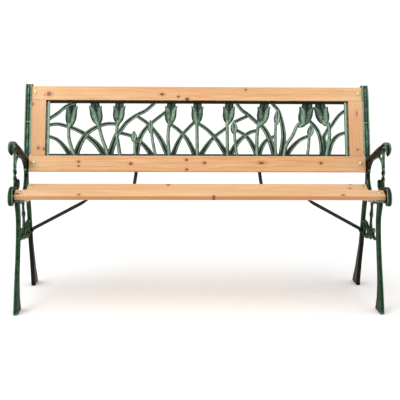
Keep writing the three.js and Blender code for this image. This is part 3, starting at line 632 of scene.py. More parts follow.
# ------------------------------------------------------------ cast lattice of tulips
TULIPS = [
    (-466, -424, 108, 188, 6, [(-452.6, 112), (-451.9, 67), (-442, 29), (-432, 3)]),
    (-381, -334, 115, 189, -12, [(-349.3, 120), (-338, 70), (-320, 20), (-316, 3)]),
    (-300, -256, 119, 189, 4, [(-282, 123), (-285, 79), (-280, 47), (-273, 3)]),
    (-118, -73.5, 117, 189, 5, [(-100, 121), (-105, 73), (-102, 16), (-102, 3)]),
    (-24, 19.5, 119, 188, 3, [(-3.5, 123), (-2.5, 25), (-2.5, 3)]),
    (87, 131.5, 120, 188, 5, [(103, 125), (103.5, 25), (103.5, 3)]),
    (208, 255, 118, 188, 9, [(216.5, 124), (209, 81), (207, 25), (207, 3)]),
    (355, 409.5, 115, 189, 15, [(362, 122), (350, 109), (333, 73), (311, 40), (302, 3)]),
    (414, 467, 119, 189, -14, [(462, 124), (465, 85), (461.5, 47), (452, 3)]),
]
BUDS = [
    (-238, -211.5, 50, 91, 0, [(-222.5, 56), (-220, 3)]),
    (-179, -155, 82, 131, -2, [(-163, 88), (-160, 60), (-149.5, 3)]),
    (112.5, 142, 80, 128, -2, [(129, 86), (130.5, 53), (136, 3)]),
    (267, 294, 114, 170, 3, [(275, 120), (272.5, 65), (273, 3)]),
    (384.5, 412, 72, 116, 4, [(393.5, 78), (389.5, 34), (385, 3)]),
]
LEAVES = [
    [(-524, 131), (-491, 154), (-464, 177), (-436, 190)],
    [(-524, 110), (-493.5, 114), (-462, 107), (-427.5, 94.5), (-399.5, 80), (-380, 64), (-355, 42), (-326, 3)],
    [(-524, 70), (-492, 57.5), (-467, 32), (-446, 3)],
    [(-427, 3), (-414, 39), (-396, 71), (-377.5, 90), (-353, 104.5), (-337, 111), (-312.5, 116), (-284, 114)],
    [(-308, 3), (-295.5, 47), (-283.5, 79), (-271, 92), (-252.5, 118), (-218, 145.5), (-184, 163.5), (-153, 191)],
    [(-215, 144), (-180, 120), (-152, 89.5), (-130, 57.5), (-105, 3)],
    [(-280, 84), (-236.5, 73), (-201.5, 51), (-173, 19), (-163, 2)],
    [(-217, 3), (-208, 47.5), (-196, 79.5), (-174, 109), (-152, 128), (-112, 160)],
    [(-96, 115), (-64, 90), (-39, 61), (-10, 3)],
    [(-88, 3), (-70.5, 48), (-52, 80), (-14, 121)],
    [(0, 119), (31, 97), (58, 69.5), (79.5, 39.5), (102, 3)],
    [(9, 3), (36.5, 44.5), (61, 72), (102, 103)],
    [(138, 191), (156, 167), (177.5, 150.5), (204.5, 125.5), (228.5, 106), (244.5, 81), (257, 48), (270, 3)],
    [(180, 148), (127, 123)],
    [(136, 94), (166, 75.5), (184.5, 53.5), (208, 3)],
    [(113, 3), (138.5, 48), (161, 70), (185, 86.5), (210, 93)],
    [(213, 3), (227.5, 40), (244, 59), (275, 74)],
    [(264, 191), (284, 167.5), (294, 136.5), (300, 103.5), (302, 67.5), (293, 3)],
    [(309, 3), (335.5, 37), (360, 59.5), (391, 74)],
    [(386, 137), (410, 113), (424.5, 90), (433.5, 60), (437.5, 22), (438, 3)],
    [(446, 3), (448, 47), (444, 67.5), (454, 88), (464, 106)],
    [(466, 100), (485, 128.5), (500.5, 149), (524, 167)],
    [(456, 3), (468, 39.5), (483, 65), (503.5, 80.5), (524, 86)],
]
V_BACK = V_PANEL - 10.0
panel = Shells()


def strip(shells, line, prof, paint, v_back, lift):
    """Ribbon in the plane of the panel. line: (x, u, width); prof: (share across, depth under the front)."""
    t = tangents(line)
    rings, paints = [], []
    for i, (x, u, w) in enumerate(line):
        nx, nu = -t[i][1], t[i][0]
        front = V_PANEL + (lift(i / (len(line) - 1)) if callable(lift) else lift)
        ring, pr = [], []
        for (q, d), g in zip(prof, paint):
            ring.append(back(x + nx * w / 2 * q, min(max(u + nu * w / 2 * q, GAP + 0.4), WINDOW_H - GAP - 0.4), front + d))
            pr.append(g * (0.62 + 0.38 * min(1.0, max(0.0, u - 5) / 50)) if prof is LEAF else g)
        for q, v in ((0.93, v_back), (-0.93, v_back)):
            ring.append(back(x + nx * w / 2 * q, min(max(u + nu * w / 2 * q, GAP + 0.4), WINDOW_H - GAP - 0.4), v))
            pr.append(0.1)
        rings.append(ring)
        paints.append(pr)
    shells.loft(rings, paints)


def rooted(pts):
    """Carries a stem or leaf that starts in the bottom bar on past it."""
    out = list(pts)

    def on(a, b):
        d = math.dist(a, b)
        return (b[0] + (b[0] - a[0]) / d * 10, b[1] + (b[1] - a[1]) / d * 10)

    if pts[-1][1] < 10:
        out.append(on(pts[-2], pts[-1]))
    if pts[0][1] < 10:
        out.insert(0, on(pts[1], pts[0]))
    return out


LEAF = [(-1, -3.2), (-0.96, -1.3), (-0.86, -0.3), (-0.62, 0.0), (-0.36, -0.4), (-0.18, -1.6), (-0.02, -2.4), (0.1, -2.0), (0.26, -0.7), (0.56, 0.2), (0.82, -0.2), (0.95, -1.3), (1, -3.2)]
LEAF_P = [0.0, 0.15, 0.6, 0.95, 0.75, 0.2, 0.0, 0.0, 0.4, 0.85, 0.5, 0.1, 0.0]
STEM = [(-1, -3.8), (-0.96, -2.0), (-0.75, -0.8), (-0.36, -0.1), (0, 0.1), (0.36, -0.1), (0.75, -0.8), (0.96, -2.0), (1, -3.8)]
STEM_P = [0.0, 0.3, 0.8, 0.95, 0.8, 0.7, 0.5, 0.15, 0.0]


def bar(x0, u0, x1, u1, paint, r=1.4, front=V_PANEL):
    """Straight bar of the panel's own rim, with rounded arrises."""
    cx, cu, hw, hu = (x0 + x1) / 2, (u0 + u1) / 2, (x1 - x0) / 2, (u1 - u0) / 2
    rings, paints = [], []
    for v, i in ((V_BACK, 0.4), (V_BACK + 0.6, 0.0), (front - r, 0.0), (front - 0.4 * r, 0.3 * r), (front, r)):
        ring = [back(cx + a * (hw - i), cu + b * (hu - i), v) for a, b in ((-1, -1), (0, -1), (1, -1), (1, 0), (1, 1), (0, 1), (-1, 1), (-1, 0))]
        rings.append(ring)
        paints.append([paint if v > front - 1 else 0.1] * 8)
    panel.loft(rings, paints)


W = WINDOW_HALF - GAP
bar(-W, GAP, W, 7.0, 0.35)
# painted shade: the top bar and its top strip get little green (0.0 and 0.1), standing in for the shadow the top rail
# casts on them
bar(-W, 190.2, W, WINDOW_H - GAP, 0.0)
bar(-W, 193.5, W, WINDOW_H - GAP, 0.1, front=V_PANEL + 0.8)
for s in (-1, 1):
    bar(min(s * W, s * (W - 13)), GAP, max(s * W, s * (W - 13)), WINDOW_H - GAP, 0.62)
    bar(min(s * (W - 6), s * (W - 13)), GAP + 1, max(s * (W - 6), s * (W - 13)), WINDOW_H - GAP - 1, 1.0, r=1.0, front=V_PANEL + 0.7)
# ears behind the stiles
for s in (-1, 1):
    for u in (30, 169):
        x0, x1 = sorted((s * (WINDOW_HALF - 8), s * (WINDOW_HALF + 17)))
        cx, hw = (x0 + x1) / 2, (x1 - x0) / 2
        for v0, v1, a0, a1 in ((-WOOD_T - GAP - 3, -WOOD_T - GAP, cx - hw, cx + hw),):
            rings, paints = [], []
            for v, i in ((v0, 0.7), (v0 + 0.7, 0), (v1 - 0.4, 0), (v1, 0.3)):
                rings.append([back((a0 + a1) / 2 + a * (hw - i), u + b * (7 - i), v) for a, b in ((-1, -0.7), (-0.8, -1), (0.8, -1), (1, -0.7), (1, 0.7), (0.8, 1), (-0.8, 1), (-1, 0.7))])
                paints.append([0.3] * 8)
            panel.loft(rings, paints)
        w0, w1 = sorted((s * (WINDOW_HALF - 8), s * (WINDOW_HALF - 1)))
        panel.loft([[back(a, b, v) for a, b in ((w0, u - 7), (w1, u - 7), (w1, u + 7), (w0, u + 7))] for v in (-WOOD_T - GAP - 3, V_BACK + 1)], None)

LIFTS = [-0.5, -1.6, -0.8, -0.4, -0.3, -1.5, -2.0, -0.9, -0.4, -1.7, -0.4, -1.8, -0.5, -1.9, -1.6, -0.4, -1.8, -0.5, -0.6, -0.5, -2.0, -0.7, -0.5]
for pts, lift in zip(LEAVES, LIFTS):
    base_first = pts[0][1] < 10
    base_last = pts[-1][1] < 10
    pts = rooted(pts)
    n = len(pts)
    ws = []
    for i in range(n):
        q = i / (n - 1)
        q = 1 - q if base_first else q
        ws.append(12.2 + 14.0 * q**1.8 if (base_first or base_last) else 12.4)
    length = sum(math.dist(pts[i], pts[i + 1]) for i in range(n - 1))
    line = curve([(x, min(u, 191), w) for (x, u), w in zip(pts, ws)], max(4, int(length / 9)))
    strip(panel, line, LEAF, LEAF_P, V_BACK + 2.5, lift)
for *_, pts in TULIPS:
    line = curve([(x, u, 11.4 + 2.0 * (i / (len(pts) - 1))) for i, (x, u) in enumerate(rooted(pts))], 14)
    strip(panel, line, STEM, STEM_P, V_BACK + 3, 0.2)
for *_, pts in BUDS:
    line = curve([(x, u, 9.6 + 1.6 * (i / (len(pts) - 1))) for i, (x, u) in enumerate(rooted(pts))], 10)
    strip(panel, line, STEM, STEM_P, V_BACK + 3, 0.0)


def petal(rows, box, v_front, bulge, rim, paint_mid, paint_rim, cols=13):
    """Closed shell between a left and a right edge. rows: (height, left, right), shares of the box."""
    x0, x1, lo, hi, lean = box
    w, c, h = (x1 - x0) / 2, (x0 + x1) / 2, hi - lo
    rs = curve([(b * 60, a0 * 20, a0, a1, b) for b, a0, a1 in rows], 16)
    rings, paints = [], []
    for k, (_, _, a0, a1, b) in enumerate(rs):
        ends = min(1.0, 4 * min(k, len(rs) - 1 - k) / len(rs) + 0.25)
        ring, pr = [], []
        for j in range(cols):
            s = -1 + 2 * j / (cols - 1)
            a = a0 + (a1 - a0) * (s + 1) / 2
            dome = math.sqrt(max(0.0, 1 - s * s))
            edge = math.exp(-(((abs(s) - 0.8) / 0.14) ** 2))
            v = v_front + bulge * dome * ends + rim * edge - (0.0 if abs(s) < 0.99 else 0.8)
            ring.append(back(c + a * w + lean * (b - 0.5) * 0.9, lo + b * h, v))
            pr.append(0.0 if abs(s) > 0.9 else paint_mid + (paint_rim - paint_mid) * dome**2)
        for s in (0.96, 0.0, -0.96):
            a = a0 + (a1 - a0) * (s + 1) / 2
            ring.append(back(c + a * w + lean * (b - 0.5) * 0.9, lo + b * h, V_BACK + 1.0))
            pr.append(0.1)
        rings.append(ring)
        paints.append(pr)
    panel.loft(rings, paints)


LEFT = [(0.0, -0.4, 0.15), (0.1, -0.66, 0.26), (0.25, -0.86, 0.32), (0.42, -0.95, 0.26), (0.58, -0.94, 0.12), (0.7, -0.93, -0.1), (0.79, -0.96, -0.4), (0.87, -1.02, -0.84)]
RIGHT = [(0.0, -0.15, 0.4), (0.1, -0.2, 0.64), (0.25, -0.18, 0.84), (0.42, -0.08, 0.93), (0.58, 0.02, 0.93), (0.7, 0.16, 0.92), (0.79, 0.42, 0.96), (0.87, 0.86, 1.02)]
MIDDLE = [(0.35, -0.4, 0.1), (0.55, -0.6, 0.1), (0.72, -0.72, 0.1), (0.88, -0.72, 0.1), (1.04, -0.64, 0.06)]
MIDDLE_2 = [(0.35, -0.1, 0.4), (0.55, -0.08, 0.6), (0.72, -0.04, 0.72), (0.88, -0.02, 0.72), (1.04, -0.02, 0.66)]
BUD_L = [(0.0, -0.25, 0.2), (0.15, -0.62, 0.32), (0.38, -0.86, 0.3), (0.6, -0.76, 0.14), (0.82, -0.42, 0.02), (0.97, -0.08, 0.04)]
BUD_R = [(0.0, -0.2, 0.25), (0.15, -0.2, 0.62), (0.38, -0.08, 0.86), (0.6, 0.06, 0.76), (0.82, 0.02, 0.46), (1.0, 0.0, 0.12)]
for i, (x0, x1, lo, hi, lean, _) in enumerate(TULIPS):
    box = (x0, x1, lo, hi, lean)
    petal(MIDDLE, box, V_PANEL - 4.8, 2.0, 0.2, 0.0, 0.42)
    petal(MIDDLE_2, box, V_PANEL - 4.2, 2.0, 0.2, 0.0, 0.48)
    first, second = (LEFT, RIGHT) if i % 3 != 1 else (RIGHT, LEFT)
    petal(first, box, V_PANEL - 2.8, 2.8, 0.2, 0.0, 0.72)
    petal(second, box, V_PANEL - 1.2, 2.8, 0.2, 0.0, 0.86)
    # swelling under the flower
    neck = curve([((x0 + x1) / 2 - lean * 0.45, lo + 9, 18.0), ((x0 + x1) / 2 - lean * 0.5, lo + 1, 16.0), (TULIPS[i][5][0][0], lo - 6, 13.5), (TULIPS[i][5][0][0], lo - 11, 11.5)], 8)
    strip(panel, neck, STEM, STEM_P, V_BACK + 2, 0.6)
for i, (x0, x1, lo, hi, lean, _) in enumerate(BUDS):
    box = (x0, x1, lo, hi, lean)
    petal(BUD_L, box, V_PANEL - 2.2, 2.6, 0.2, 0.05, 0.9)
    petal(BUD_R, box, V_PANEL - 0.9, 2.5, 0.2, 0.1, 1.0)
add("tulip_panel_casting", panel.mesh("tulip_panel_casting", "patina_and_light"), "tulip_panel", PANEL_IRON, smooth=50)


# ------------------------------------------------------------ cast end frames
def plate_section(w, x0, x1, relief, side, r=2.0):
    hw, wide = w / 2, x1 - x0
    r = min(r, hw * 0.9, wide * 0.3)
    e = r / wide
    if relief > 0:
        prof = [(0, -r), (0.3 * e, -0.3 * r), (e, 0), (0.17, 0), (0.24, -relief * 0.75), (0.31, -relief), (0.42, -relief * 0.9), (0.5, -relief * 0.45), (0.58, -relief * 0.9), (0.69, -relief), (0.76, -relief * 0.75), (0.83, 0), (1 - e, 0), (1 - 0.3 * e, -0.3 * r), (1, -r)]
    else:
        prof = [(0, -r), (0.3 * e, -0.3 * r), (e, 0), (0.5, 0.25), (1 - e, 0), (1 - 0.3 * e, -0.3 * r), (1, -r)]
    out = [(side * (hw + d), x0 + t * wide) for t, d in prof]
    out += [(-side * (hw + d), x0 + t * wide) for t, d in ((1, -r), (1 - 0.3 * e, -0.3 * r), (1 - e, 0), (e, 0), (0.3 * e, -0.3 * r), (0, -r))]
    return out


def strap(S, pts, n, relief=0.0, side=1):
    """pts: (y, z, thickness, x0, x1) down the middle of a strap seen from the side."""
    c = curve(pts, n)
    t = tangents(c)
    rings = []
    for i, (y, z, w, x0, x1) in enumerate(c):
        ny, nz = -t[i][1], t[i][0]
        rings.append([(x, y + ny * q, z + nz * q) for q, x in plate_section(w, x0, x1, relief, side)])
    S.loft(rings)


def plate(S, outline, x0, x1):
    S.loft([[(x, y, z) for y, z in outline] for x in (x0, x1)])


def fe(u, v):
    return back(0, u, v)[1:]


def widen(pts, w, x0, x1):
    w = w if isinstance(w, (list, tuple)) else [w] * len(pts)
    return [(p[0], p[1], a, x0, x1) for p, a in zip(pts, w)]


def twisted(S, z0, z1, y_of, x, r, lobe, pitch):
    rings = []
    n = int((z1 - z0) / 1.6)
    for i in range(n + 1):
        z = z0 + (z1 - z0) * i / n
        fade = min(1.0, min(i, n - i) / 4)
        ring = []
        for k in range(20):
            a = 2 * math.pi * k / 20
            rr = r + lobe * fade * math.cos(2 * a - 2 * math.pi * z / pitch)
            ring.append((x + rr * math.cos(a) * 0.92, y_of(z) + rr * math.sin(a) * 0.92, z))
        rings.append(ring)
    S.loft(rings)


def drop(S, prof, x):
    """Turned drop; prof: (z, y centre, half depth, half width)."""
    rings = []
    for z, y, ry, rx in curve([(p[0], p[1], p[2], p[3]) for p in prof], 60):
        rings.append([(x + rx * math.cos(2 * math.pi * k / 20), y + ry * math.sin(2 * math.pi * k / 20), z) for k in range(20)])
    S.loft(rings)


def curl(cy, cz, r0, r1, a0, a1, w0, w1, x0, x1, n=10):
    out = []
    for i in range(n + 1):
        q = i / n
        a = math.radians(a0 + (a1 - a0) * q)
        r = r0 + (r1 - r0) * q
        out.append((cy + r * math.cos(a), cz + r * math.sin(a), w0 + (w1 - w0) * q, x0, x1))
    return out


def end_frame():
    S = Shells()
    # face of the upright with raised borders, ending below in a rounded foot and above in a volute
    up = [(1.4, -0.9, 7, 584.5, 601.5), (6, -0.7, 8, 583.1, 605), (24, -0.3, 8, 582.9, 606.5), (90, 0.5, 8, 582.9, 606.5), (170, 0.5, 8, 583, 606.5), (228, 0, 8, 583, 606.5), (246, -2.5, 8, 583.5, 606.5), (256, -10, 8, 583.5, 606.3), (257.5, -19, 8, 582, 606), (251, -28, 8, 579, 606), (243, -29, 8, 578, 605), (240, -23, 7, 578, 604)]
    strap(S, [(*fe(u, v), w, a, b) for u, v, w, a, b in up], 64, relief=2.3, side=1)
    # leaf in low relief near the top, and a long one in the lower third
    def leaf_relief(u0, u1, wide, high):
        rings = []
        for i in range(17):
            q = i / 16
            u = u0 + (u1 - u0) * q
            hw = max(0.35, wide * math.sin(math.pi * q) ** 0.8)
            rings.append([back(594.75 + hw * a, u, 4.4 + 0.4 * 0 - 2.4 + high * b * math.sin(math.pi * q) ** 0.5) for a, b in ((-1, 0), (-0.6, 0.65), (-0.12, 0.9), (0, 0.5), (0.12, 0.9), (0.6, 0.65), (1, 0), (0.6, -1.2), (-0.6, -1.2))])
        S.loft(rings)
    leaf_relief(206, 244, 6.2, 2.4)
    leaf_relief(196, 216, 4.0, 2.0)
    leaf_relief(58, 104, 6.4, 2.4)
    leaf_relief(24, 62, 5.4, 2.2)
    # band across the face
    strap(S, [(*fe(116, 3.2), 2.6, 584.5, 605), (*fe(121, 3.2), 2.6, 584.5, 605)], 3)
    # web of the upright
    plate(S, [fe(-66, -8), fe(-66, -22), fe(-20, -28), fe(120, -26), fe(238, -24), fe(247, -14), fe(238, -2), fe(-30, -2)], 591, 603.5)
    strap(S, [(*fe(-58, -25), 6, 590.5, 605), (*fe(-20, -28), 6, 590.5, 605), (*fe(120, -26.5), 6, 590.5, 605), (*fe(236, -25), 6, 590.5, 605)], 20)
    strap(S, [(*fe(14, -2), 8, 590, 605.5), (*fe(-20, -3), 8, 590, 606), (*fe(-52, -5), 8, 590.5, 605), (*fe(-66, -8), 6, 591.5, 604)], 14)
    # lower upright down to the rail under the seat, and the strand curving forward beside it
    plate(S, [(74, 450), (92, 452), (89, 410), (93, 380), (110, 345), (86, 346), (75, 380), (72, 410)], 591, 604)
    strap(S, [(93, 452, 5, 590.6, 605), (89.5, 410, 5, 590.6, 605), (94, 380, 5, 590.6, 605), (108, 350, 6, 590.6, 605)], 16)
    strap(S, [(85, 466, 7, 592, 606.5), (84, 436, 8, 592, 606.5), (76, 410, 8, 592, 606.5), (60, 390, 8, 592, 606.5), (38, 373, 9, 592, 606)], 20, relief=1.2, side=-1)
    strap(S, [(74, 440, 6, 592, 603), (64, 432, 6, 592, 603), (57, 441, 5, 592.5, 602), (63, 449, 4, 593, 601)], 12)
    # armrest: raised borders on top, rolled over in front into a tapering tongue
    arm = [(74, 473, 7, 586, 606), (48, 481.5, 8, 584, 609), (9, 493, 8, 584, 609.6), (-30, 505.5, 8, 584, 609.6), (-70, 519, 8, 584, 609.6), (-130, 538, 8, 584, 609.6), (-152, 546, 7, 585, 609)]
    strap(S, arm, 60, relief=2.4, side=-1)
    tongue = [(-144, 543, 7, 585, 609), (-166, 551.5, 8, 585, 609.4), (-184, 558.5, 8, 586, 609.6), (-200, 559, 8, 587, 609.6), (-211, 551.5, 8, 587.5, 609.6), (-216, 541, 8, 588.5, 609.6), (-215.5, 531, 7, 591, 608), (-211.5, 523, 6, 593.5, 604), (-208.5, 519.5, 5, 595.5, 601)]
    c = curve(tongue, 34)
    t = tangents(c)
    rings = []
    for i, (y, z, w, x0, x1) in enumerate(c):  # crowned, with a shallow groove down the middle
        ny, nz = -t[i][1], t[i][0]
        mid, hw = (x0 + x1) / 2, (x1 - x0) / 2
        ring = []
        for k in range(25):
            e = -1 + k / 12
            q = -w / 2 + 4.5 * abs(e) ** 2.6 + 1.0 * math.exp(-((e / 0.3) ** 2)) * min(1.0, i / 8)
            ring.append((mid + hw * e, y + ny * q, z + nz * q))
        for e in (0.95, 0.5, -0.5, -0.95):
            q = w / 2 - 0.4 * abs(e)
            ring.append((mid + hw * e, y + ny * q, z + nz * q))
        rings.append(ring)
    S.loft(rings)
    plate(S, [(80, 478), (50, 480), (9, 492), (-30, 504), (-70, 517), (-130, 536), (-170, 548), (-166, 541), (-125, 525), (-82, 510), (-30, 494), (8, 485), (36, 472), (56, 456), (68, 436), (86, 436)], 593.5, 603)
    strap(S, [(-168, 545, 5, 592.4, 604.5), (-125, 526, 5, 592.2, 604.8), (-82, 510, 5, 592.2, 604.8), (-30, 494, 5, 592.2, 604.8), (8, 485.5, 5, 592.2, 604.8), (36, 472, 6, 592.2, 604.8), (57, 455, 6, 592.2, 604.8), (69, 434, 6, 592.2, 604.8), (74, 418, 4, 593, 604)], 36)
    strap(S, [(-196, 548, 7, 588, 606), (-182, 545, 7, 588, 606), (-172, 548, 6, 589, 606)], 8)
    # post: branch back to the arm, rope twist, flare on to the scroll
    strap(S, [(-162, 550, 9, 591.8, 603), (-156, 526, 8, 592.2, 602.6), (-157, 500, 8, 592.4, 602.4), (-159.5, 484, 9, 592.2, 602.6), (-161, 472, 10, 592, 602.8)], 16, relief=0.9, side=-1)
    strap(S, [(-159, 470, 8, 593.2, 601.4), (-147, 489, 8, 593.2, 601.4), (-124, 500, 8, 593.2, 601.4), (-100, 505, 8, 593.2, 601.4), (-74, 509, 9, 593.2, 602)], 18, relief=0.9, side=1)
    twisted(S, 424, 474, lambda z: -161 - (474 - z) * 0.05, 597.4, 5.6, 2.1, 22)
    drop(S, [(476, -160.8, 5.6, 4.6), (473, -161, 6.4, 5.0), (470, -161, 5.2, 4.4)], 597.4)
    drop(S, [(431, -163, 4.8, 4.6), (427, -163, 6.2, 5.6), (422, -163, 6.6, 5.9), (410, -163, 6.4, 5.6), (402, -163, 6, 5.4)], 597.4)
    # strip over the slat ends: curl behind the post, scroll in front
    strap(S, [(-116, 430, 5, 593, 603), (-108.5, 428, 6, 591.5, 605), (-109, 417, 7, 590.5, 606.5), (-117, 407, 7, 590.3, 606.5), (-130, 403.5, 7, 590.3, 606.5), (-150, 406.5, 7, 590.3, 606.5), (-190, 415, 7, 591.5, 606), (-220, 418, 8, 593.5, 604.5), (-241, 414, 8, 592.3, 605.5), (-253, 403, 8, 590.3, 606.5), (-259, 388, 8, 590, 607), (-258.5, 376, 8, 590.6, 606.5), (-253, 367.5, 7, 593, 604.5), (-246, 366, 6, 594.5, 603), (-243, 374, 5, 594.5, 603), (-246, 381, 4, 595, 602)], 90, relief=1.9, side=-1)
    plate(S, [(-255, 398), (-258, 380), (-254, 369), (-244, 368), (-236, 384), (-236, 404), (-244, 408)], 592.5, 603.5)
    plate(S, [(-257, 380), (-250, 400), (-238, 411), (-220, 415), (-190, 411), (-150, 403), (-130, 401), (-114, 404), (-112, 380), (-126, 378), (-178, 381), (-214, 384), (-238, 380), (-250, 372)], 593.2, 603)
    # rail under the slats, with its rib
    under = []
    for i in range(6):
        under += [seat_point(i, 0, -SLAT_W / 2 + 2, -WOOD_T - GAP)[1:], seat_point(i, 0, SLAT_W / 2 - 2, -WOOD_T - GAP)[1:]]
    plate(S, [(y, z - 6) for y, z in under] + list(reversed(under)), 561.3, 604)
    plate(S, [(y, z - 17) for y, z in under] + [(y, z - 2) for y, z in reversed(under)], 593.5, 603)
    strap(S, [(y, z - 17, 5, 591.5, 604.8) for y, z in under], 44)
    plate(S, [(-260, 372), (-244, 367), (-225, 370), (-225, 386), (-246, 392)], 593, 603.5)
    plate(S, [(50, 350), (90, 352), (90, 380), (56, 376)], 593.5, 603.5)
    # front leg: web between two ribs
    f_front = [(-146, 372), (-144, 352), (-131, 322), (-125, 296), (-132, 245), (-156, 170), (-182, 108), (-204, 50), (-217, 14)]
    f_rear = [(-114, 374), (-104, 326), (-101, 290), (-111, 240), (-133, 170), (-149, 120), (-155, 80), (-153, 40), (-143, 12)]
    plate(S, f_front + [(-218, 3), (-213, 0.2), (-142, 0.2)] + list(reversed(f_rear)), 592.2, 603.2)
    strap(S, [(y + 2.6, z, 5.4, 590.5, 605) for y, z in f_front] + [(-217.4 + 2.4, 2.6, 5.0, 590.8, 604.8)], 60)
    strap(S, [(y - 2.4, z, 5.0, 590.8, 604.8) for y, z in f_rear] + [(-141.5 - 2.4, 2.6, 5.0, 591, 604.6)], 60)
    plate(S, [(-220, 3), (-218, 0), (-142, 0), (-140.6, 3), (-141, 9), (-219, 9)], 590.6, 604.9)
    strap(S, [(-170, 9, 9, 591.5, 604.3), (-177, 58, 8, 591.5, 604.3), (-167, 112, 6, 591.6, 604.2), (-150, 160, 5, 591.8, 604), (-140, 185, 3, 592, 603.8)], 40)
    # rear leg
    r_front = [(85, 356), (104, 320), (128, 235), (140, 165), (160, 105), (178, 34), (183, 8)]
    r_rear = [(109, 356), (129, 318), (150.5, 235), (168, 165), (202, 100), (226, 55), (255, 18)]
    plate(S, r_front + [(183, 0.2), (261, 0.2)] + list(reversed(r_rear)), 592.2, 603.2)
    strap(S, [(y + 2.4, z, 5.2, 590.5, 605) for y, z in r_front] + [(185.4, 2.6, 5, 590.8, 604.8)], 56)
    strap(S, [(y - 2.4, z, 5.0, 590.8, 604.8) for y, z in r_rear] + [(258, 3.0, 5, 591, 604.6)], 56)
    plate(S, [(181.5, 3), (183, 0), (262, 0), (263.5 - 1.6, 4), (258, 9.5), (182.5, 9.5)], 590.6, 604.9)
    strap(S, [(222, 9, 8, 591.5, 604.3), (205, 50, 7, 591.5, 604.3), (182, 100, 6, 591.6, 604.2), (160, 150, 4, 591.8, 604), (152, 180, 3, 592, 603.8)], 36)
    # turned drop hanging between the legs
    drop(S, [(380, -2, 13, 4.6), (366, -2, 12, 4.6), (350, -3, 8, 4.2), (336, -5, 10, 5.0), (331, -5, 11.5, 5.4), (326, -5, 8, 4.4), (308, -4, 11, 5.0), (302, 0, 15, 6.0), (296, 0, 16, 6.3), (290, 0, 14, 5.8), (284, 1, 8, 4.6), (268, 2, 9.5, 4.9), (250, 0, 12, 5.4), (236, -2, 15, 6.0), (222, -2, 13, 5.8), (213, -3, 8, 5.0), (208, -3, 2.0, 2.0)], 598.2)
    # scrolls that tie the legs to the drop
    strap(S, [(-110, 250, 8, 594, 603), (-96, 232, 8, 593.5, 603.5), (-74, 223, 7, 593, 604), (-50, 224, 7, 593, 604), (-34, 236, 7, 593, 604), (-36, 250, 6, 593.5, 603.5), (-48, 254, 5, 594, 603), (-54, 245, 5, 594.5, 602.5), (-47, 240, 4, 595, 602)], 44)
    strap(S, [(-36, 232, 7, 593.5, 603.5), (-22, 222, 7, 593.5, 603.5), (-8, 222, 6, 594, 603)], 10)
    strap(S, [(138, 243, 8, 592.5, 604), (112, 254, 8, 592, 604.5), (84, 254, 8, 592, 604.5), (58, 246, 7, 592, 604.5), (36, 236, 7, 592, 604.5), (14, 234, 7, 593, 604)], 34)
    strap(S, [(140, 216, 8, 593, 604), (108, 209, 8, 592.5, 604), (76, 203, 7, 592.5, 604), (44, 207, 7, 592.5, 604), (10, 220, 7, 593.5, 603.5)], 30)
    strap(S, [(54, 244, 6, 592.2, 604.3), (42, 232, 6, 592.2, 604.3), (44, 216, 6, 592.2, 604.3), (58, 211, 5, 593, 603.6), (64, 220, 4, 594, 602.6)], 26)
    strap(S, [(118, 250, 6, 592.2, 604.3), (104, 240, 6, 592.2, 604.3), (98, 226, 6, 592.2, 604.3), (106, 214, 6, 592.2, 604.3)], 16)
    # lugs behind the two rails
    for a, b in ((206, 246), (-48, -8)):
        S.loft([[back(x, u, v) for x, u in ((556.3, a + 3), (559.3, a), (599, a), (599, b), (559.3, b), (556.3, b - 3))] for v in (-WOOD_T - GAP - 7, -WOOD_T - GAP)])
    return S


def cast_mesh(S, name, voxel):
    """Fuses the shells into one skin with small fillets."""
    me = S.mesh(name)
    ob = bpy.data.objects.new(name + "_raw", me)
    bpy.context.scene.collection.objects.link(ob)
    mod = ob.modifiers.new("fuse", "REMESH")
    mod.mode = "VOXEL"
    mod.voxel_size = voxel
    mod.adaptivity = 0.0
    sm = ob.modifiers.new("ease", "SMOOTH")
    sm.factor = 0.5
    sm.iterations = 2
    dg = bpy.context.evaluated_depsgraph_get()
    out = bpy.data.meshes.new_from_object(ob.evaluated_get(dg))
    bpy.data.objects.remove(ob)
    out.name = name
    return out


